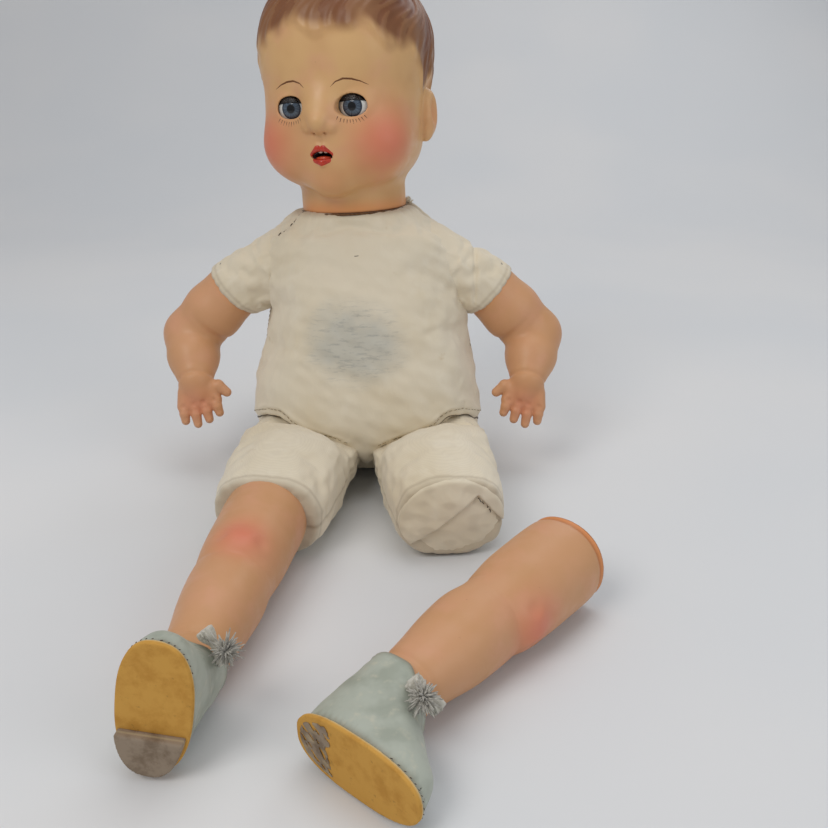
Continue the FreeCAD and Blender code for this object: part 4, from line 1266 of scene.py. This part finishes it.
def make_thigh(name):
    body = "thigh_" + name
    points, faces = surface(thigh_field, (-42, -34, -26), (42, 34, THIGH_RUN + 3), CLOTH_GRAIN)
    local = points
    points = THIGH_PLACE.outward(points)
    if name == "left":
        points, faces = mirrored(points, faces, 0)
    thigh = piece_from("thigh_cover_" + name, points, faces, [FINISHES["muslin"]])
    held = np.maximum(step_up(local[:, 2], THIGH_RUN - 14, THIGH_RUN - 4), step_up(-local[:, 2], -8, 4))
    held = np.maximum(held, 0.9 * bell(np.abs(local[:, 0]) - 35, 3) * bell(local[:, 1], 6))
    held = np.maximum(held, step_up(-points[:, 2], -6, -2))
    puff(thigh, held, 4.0, 0.04, 3.5)
    refine(thigh, 2)
    points, _ = points_of(thigh)
    folded = points * vec(-1 if name == "left" else 1, 1, 1)
    local = THIGH_PLACE.inward(folded)
    around = np.arctan2(local[:, 0], local[:, 1])
    from_hem = THIGH_RUN - local[:, 2]
    gathers = np.sin(around * 23 + 2 * np.sin(around * 2)) + 0.5 * np.sin(around * 41)
    seam = bell(local[:, 1] + 4, 1.3) * step_up(np.abs(local[:, 0]), 18, 28)
    lift = (0.1 * gathers * bell(from_hem - 2, 11) - 0.6 * seam
            + 0.6 * ripple(local, 24, 31 if name == "right" else 32) + 0.25 * ripple(local, 8, 33)
            - 0.2 * bell(from_hem - 5, 1.0))
    emboss(thigh, lift)
    points, _ = points_of(thigh)
    rest_on_floor(thigh, points)
    # painted shade in the side seam, at the hem, in the fold behind it and near the floor
    grime = 0.3 * seam + 0.35 * bell(from_hem, 3) + 0.3 * bell(from_hem - 5,
        1.2) + 0.3 * step_up(-points[:, 2], -5, 0)
    set_paint(thigh, stamp=np.zeros_like(grime), grime=np.clip(grime, 0, 0.7))
    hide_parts(body + "_cover", body + "_stuffing")
    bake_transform(thigh)


def make_sleeve(name):
    place = place_along(SHOULDER, SLEEVE_AXIS, vec(0, 0, 1))
    points, faces = surface(sleeve_field, (-32, -42, -46), (32, 30, 37), CLOTH_GRAIN * 0.8)
    local = points
    points = place.outward(points)
    if name == "left":
        points, faces = mirrored(points, faces, BODY_MIDDLE_X)
    sleeve = piece_from("sleeve_cover_" + name, points, faces, [FINISHES["muslin"]])
    held = np.maximum(step_up(local[:, 2], 19, 27), step_up(-local[:, 2], 6, 14))
    puff(sleeve, held, 4.0, 0.05, 2.5)
    refine(sleeve, 2)
    points, _ = points_of(sleeve)
    folded = right_side(points, BODY_MIDDLE_X)
    local = place.inward(folded)
    around = np.arctan2(local[:, 0], local[:, 1])
    from_hem = SLEEVE_END - local[:, 2]
    gathers = np.sin(around * 19 + 2 * np.sin(around * 2)) + 0.5 * np.sin(around * 37)
    lift = (0.15 * gathers * bell(from_hem - 2, 8) + 0.5 * ripple(local, 17, 41) - 0.2 * bell(from_hem - 5,
        1.0)
            + 0.5 * np.sin(around * 6 + local[:, 2] * 0.3) * bell(from_hem - 24, 9))
    crease_x, crease_depth = (-64, 0.6) if name == "right" else (75, 1.5)
    lift = lift - crease_depth * bell(points[:, 0] - crease_x, 1.4) * step_up(points[:, 2], 116, 128)
    emboss(sleeve, lift)
    # painted shade at the hem and in the fold behind it
    grime = 0.4 * bell(from_hem, 2.5) + 0.25 * bell(from_hem - 5, 1.2)
    set_paint(sleeve, stamp=np.zeros_like(grime), grime=np.clip(grime, 0, 0.6))
    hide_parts("sleeve_" + name + "_cover", "sleeve_" + name + "_stuffing")
    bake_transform(sleeve)


def make_left_end_disc():
    """Stitched cloth disc that closes the loose leg's thigh, puckered towards its middle."""
    hem = THIGH_PLACE.outward(vec(0, 0, THIGH_RUN)[None])[0] * vec(-1, 1, 1)
    out = unit((THIGH_HEM - HIP) * vec(-1, 1, 1))
    place = place_along(hem, out, vec(0, 0, 1))

    def dome(p, reach):
        turn = np.arctan2(p[:, 0], p[:, 1])
        wrinkles = np.sin(turn * 17 + reach * 0.2) + 0.6 * np.sin(turn * 29)
        return 3.6 - 4.6 * (reach / 24) ** 2 + 0.14 * wrinkles * bell(reach - 18, 3) + 0.4 * ripple(p, 14, 6)

    def disc_field(p):
        reach = np.hypot(p[:, 0] / 30 * 24, p[:, 1])
        return common(common(reach - 24, p[:, 2] - dome(p, reach), 1.5), -p[:, 2] - 7, 1) * 0.8

    def flap_field(p):
        """Turned-down end of the thigh's cloth, over the disc above two straight folds meeting at a corner."""
        reach = np.hypot(p[:, 0] / 30 * 24, p[:, 1])
        from_corner = p[:, :2] - FLAP_CORNER
        edge = np.minimum(from_corner @ vec(0.627, -0.78), from_corner @ vec(-0.757, -0.654))
        cover = common(reach - 25.6, p[:, 2] - dome(p, reach) - 2.2, 1.5)
        return common(common(cover, edge, 0.6), -p[:, 2] - 5, 1) * 0.8

    for piece_name, field, nodes in (("hem_disc_left", disc_field, ["thigh_left_end_disc"]),
                                     ("hem_flap_left", flap_field, [])):
        points, faces = surface(field, (-34, -28, -10), (34, 28, 9), 0.9)
        grime = 0.15 * step_up(ripple(points, 12, 4), 0, 1)
        paint = {"grime": np.clip(grime, 0, 0.7), "stamp": np.zeros_like(grime)}
        piece = piece_from(piece_name, place.outward(points), faces, [FINISHES["muslin"]], paint)
        finish_piece(piece, "thigh_left", "muslin", *nodes)
    corner = vec(*FLAP_CORNER, 4)
    fold = [corner + vec(0, -1, 0), corner + vec(5, -7, -1.2), corner + vec(9, -12.5, -2)]
    stitches("flap_threads", [place.outward(spot[None])[0] for spot in fold], 2.6, 0.8, 0.3, "thigh_left",
             DARK_THREAD, 1.6, 19)


# ------------------------------------------------------------------ sewing and small cords
def stitches(name, path, length, gap, radius, body, finish=None, wander=0.4, seed=1):
    """Row of short stitches along a chain of points."""
    chance = np.random.default_rng(seed)
    path = np.array(path, float)
    runs = np.linalg.norm(np.diff(path, axis=0), axis=1)
    reach = np.concatenate([[0], np.cumsum(runs)])
    tubes = []
    spot = 0.0
    while spot + length < reach[-1]:
        ends = [np.array([np.interp(s, reach, path[:, axis]) for axis in range(3)]) for s in (spot,
            spot + length)]
        offset = chance.normal(size=3) * wander * 0.3
        middle = (ends[0] + ends[1]) / 2 + offset
        tubes.append(([ends[0] + offset, middle, ends[1] + chance.normal(size=3) * wander * 0.3], radius))
        spot += length + gap * chance.uniform(0.7, 1.4)
    return add_tubes(name, tubes, finish or THREAD, body, "cord")


def snapped(obj, points, lift):
    """The points dropped onto a piece's surface from where they are, and raised by a little."""
    result = []
    for point in points:
        _, spot, normal, _ = obj.closest_point_on_mesh(Vector(point * MM))
        result.append(np.array(spot) / MM + np.array(normal) * lift)
    return np.array(result)


def even_path(points, count):
    """That many points, evenly spaced along a smooth curve through the given ones."""
    points = np.array(points, float)
    reach = np.concatenate([[0], np.cumsum(np.linalg.norm(np.diff(points, axis=0), axis=1))])
    spots = np.linspace(0, reach[-1], count)
    return np.column_stack([curve_through(spots, reach, points[:, axis]) for axis in range(3)])


def make_sewing():
    torso = bpy.data.objects["torso_cover"]
    neck_ring = []
    for step in range(96):
        turn = 2 * math.pi * step / 96
        wobble = 0.35 * math.sin(turn * 24)
        radius = NECK_CORD_RING + wobble
        neck_ring.append(vec(radius * math.cos(turn), radius * math.sin(turn), -0.3))
    points, faces = tube_mesh(HEAD.outward(np.array(neck_ring)), 0.75, 8, True)
    cord = piece_from("neck_cord", points, faces, [FINISHES["cord"]])
    finish_piece(cord, "torso", "cord", "neck_drawstring")
    for side, name in ((1, "right"), (-1, "left")):
        mirror = vec(side, 1, 1)
        seam = snapped(torso, even_path(np.array(HIP_CREASE) * mirror, 60), 0.1)
        add_strand("hip_seam_" + name, seam, 0.45, DARK_THREAD, "torso", "cord")
        above = snapped(torso, even_path((np.array(HIP_CREASE) + vec(0, -3, 7)) * mirror, 60), 0.15)
        stitches("hip_stitches_" + name, above, 2.2, 1.6, 0.24, "torso", seed=5)
    shoulder = [vec(-40, -14, 183), vec(-48, -20, 176), vec(-58, -22, 168)]
    stitches("shoulder_stitches", snapped(torso, even_path(shoulder, 24), 0.2), 2.6, 2.2, 0.3, "torso",
             DARK_THREAD, 1.2, 7)
    mend = [vec(44, -14, 170), vec(52, -8, 165)]
    stitches("sleeve_mend", snapped(torso, even_path(mend, 10), 0.3), 3.0, 1.2, 0.3, "torso", DARK_THREAD,
             1.5, 8)
    spots = [vec(-6, -40, 158), vec(-58, -60, 44)]
    for index, spot in enumerate(spots):
        path = snapped(torso, even_path([spot, spot + vec(6, 0, 1)], 6), 0.15)
        stitches("stray_stitch_%d" % index, path, 2.4, 1.0, 0.22, "torso", DARK_THREAD, 0.6, 9 + index)
    side_path = [vec(2 - 8 * z / 183 - w, -29.5 + 32 / 183 * z, z) for z, w in
                 ((10, 72), (40, 79), (70, 79), (100, 75), (122, 72))]
    for side, name in ((1, "right"), (-1, "left")):
        path = [vec(2 - 8 * q[2] / 183 + (q[0] - 2 + 8 * q[2] / 183) * side, q[1], q[2]) for q in side_path]
        stitches("side_stitches_" + name, snapped(torso, even_path(path, 60), 0.0), 2.0, 1.4, 0.22, "torso",
                 seed=15)
    tuft = []
    chance = np.random.default_rng(17)
    root = HEAD.outward(vec(33, 14, 0)[None])[0]
    for _ in range(26):
        direction = unit(vec(0.5, -0.2, 0.8) + chance.normal(size=3) * 0.5)
        tuft.append(([root, root + direction * 3 + chance.normal(size=3) * 0.6, root + direction * 6],
                     vec(0.5, 0.4, 0.15)))
    add_tubes("neck_tuft", tuft, FINISHES["cotton_stuffing"], "torso", "cotton_stuffing")


def finish_hidden_nodes():
    """The CAD nodes that stay take the procedural finish of their own slot."""
    nodes = frame["record"].get("geometry", {}).get("nodes", [])
    slots = {node.get("name"): node.get("material") or node.get("slot") for node in nodes}
    for name, obj in frame["nodes"].items():
        if obj.hide_render:
            continue
        for index, slot in enumerate(obj.material_slots):
            key = slots.get(name) or (slot.material.name.split(".")[0] if slot.material else "")
            obj.material_slots[index].material = FINISHES.get(key, FINISHES["cardboard"])


# ------------------------------------------------------------------ stage
# name, place and disc size in metres, power in watts, colour
LIGHTS = (("key", (-0.75, -1.1, 1.35), 0.9, 9.4, (1.0, 0.97, 0.93)),
          ("fill", (1.1, -0.9, 0.8), 1.1, 3.6, (0.96, 0.98, 1.0)),
          ("top", (0.1, 0.1, 1.7), 1.3, 6.5, (1, 1, 1)),
          ("back", (0.7, 1.2, 1.1), 0.9, 2.9, (1, 1, 1)))
SKY_COLOUR = (0.93, 0.95, 1.0, 1)
SKY_STRENGTH = 0.36


def make_stage():
    """Pale sweep, soft light from all round and the camera."""
    half = 3.0
    profile = [(-1.2, 0.0)]
    for step in range(25):
        turn = math.radians(90 * step / 24)
        profile.append((0.75 + 0.9 * math.sin(turn), 0.9 - 0.9 * math.cos(turn)))
    profile.append((1.65, 3.0))
    points = [vec(x, y, z) for y, z in [(-3.0, 0.0)] + profile for x in (-half, half)]
    faces = [(2 * i, 2 * i + 1, 2 * i + 3, 2 * i + 2) for i in range(len(profile))]
    sweep = Finish("sweep", tint(226, 226, 226), 0.85, 0.2)
    sweep.tone(tint(220, 222, 224), sweep.levels(sweep.noise(400, 2), 0.3, 0.7))
    floor = piece_from("sweep", np.array(points) / MM, faces, [sweep.done()])

    bpy.context.scene.view_settings.view_transform = "Standard"
    world = bpy.data.worlds.new("studio")
    world.use_nodes = True
    world.node_tree.nodes["Background"].inputs["Color"].default_value = SKY_COLOUR
    world.node_tree.nodes["Background"].inputs["Strength"].default_value = SKY_STRENGTH
    bpy.context.scene.world = world
    aim = Vector((0.0, -0.1, 0.15))
    for name, place, size, power, colour in LIGHTS:
        data = bpy.data.lights.new(name, "AREA")
        data.shape = "DISK"
        data.size = size
        data.energy = power
        data.color = colour
        lamp = bpy.data.objects.new(name, data)
        lamp.location = place
        lamp.rotation_euler = (aim - Vector(place)).to_track_quat("-Z", "Y").to_euler()
        bpy.context.scene.collection.objects.link(lamp)

    data = bpy.data.cameras.new("camera")
    data.lens = CAMERA_LENS
    data.sensor_width = 36
    camera = bpy.data.objects.new("camera", data)
    camera.location = CAMERA_PLACE
    camera.rotation_euler = (math.radians(90 - CAMERA_PITCH_DOWN), 0, 0)
    bpy.context.scene.collection.objects.link(camera)
    bpy.context.scene.camera = camera


make_stage()
make_head()
make_face_paint()
make_eyes()
make_arms()
make_legs()
make_torso()
for side_name in ("right", "left"):
    make_thigh(side_name)
    make_sleeve(side_name)
make_left_end_disc()
make_sewing()
finish_hidden_nodes()
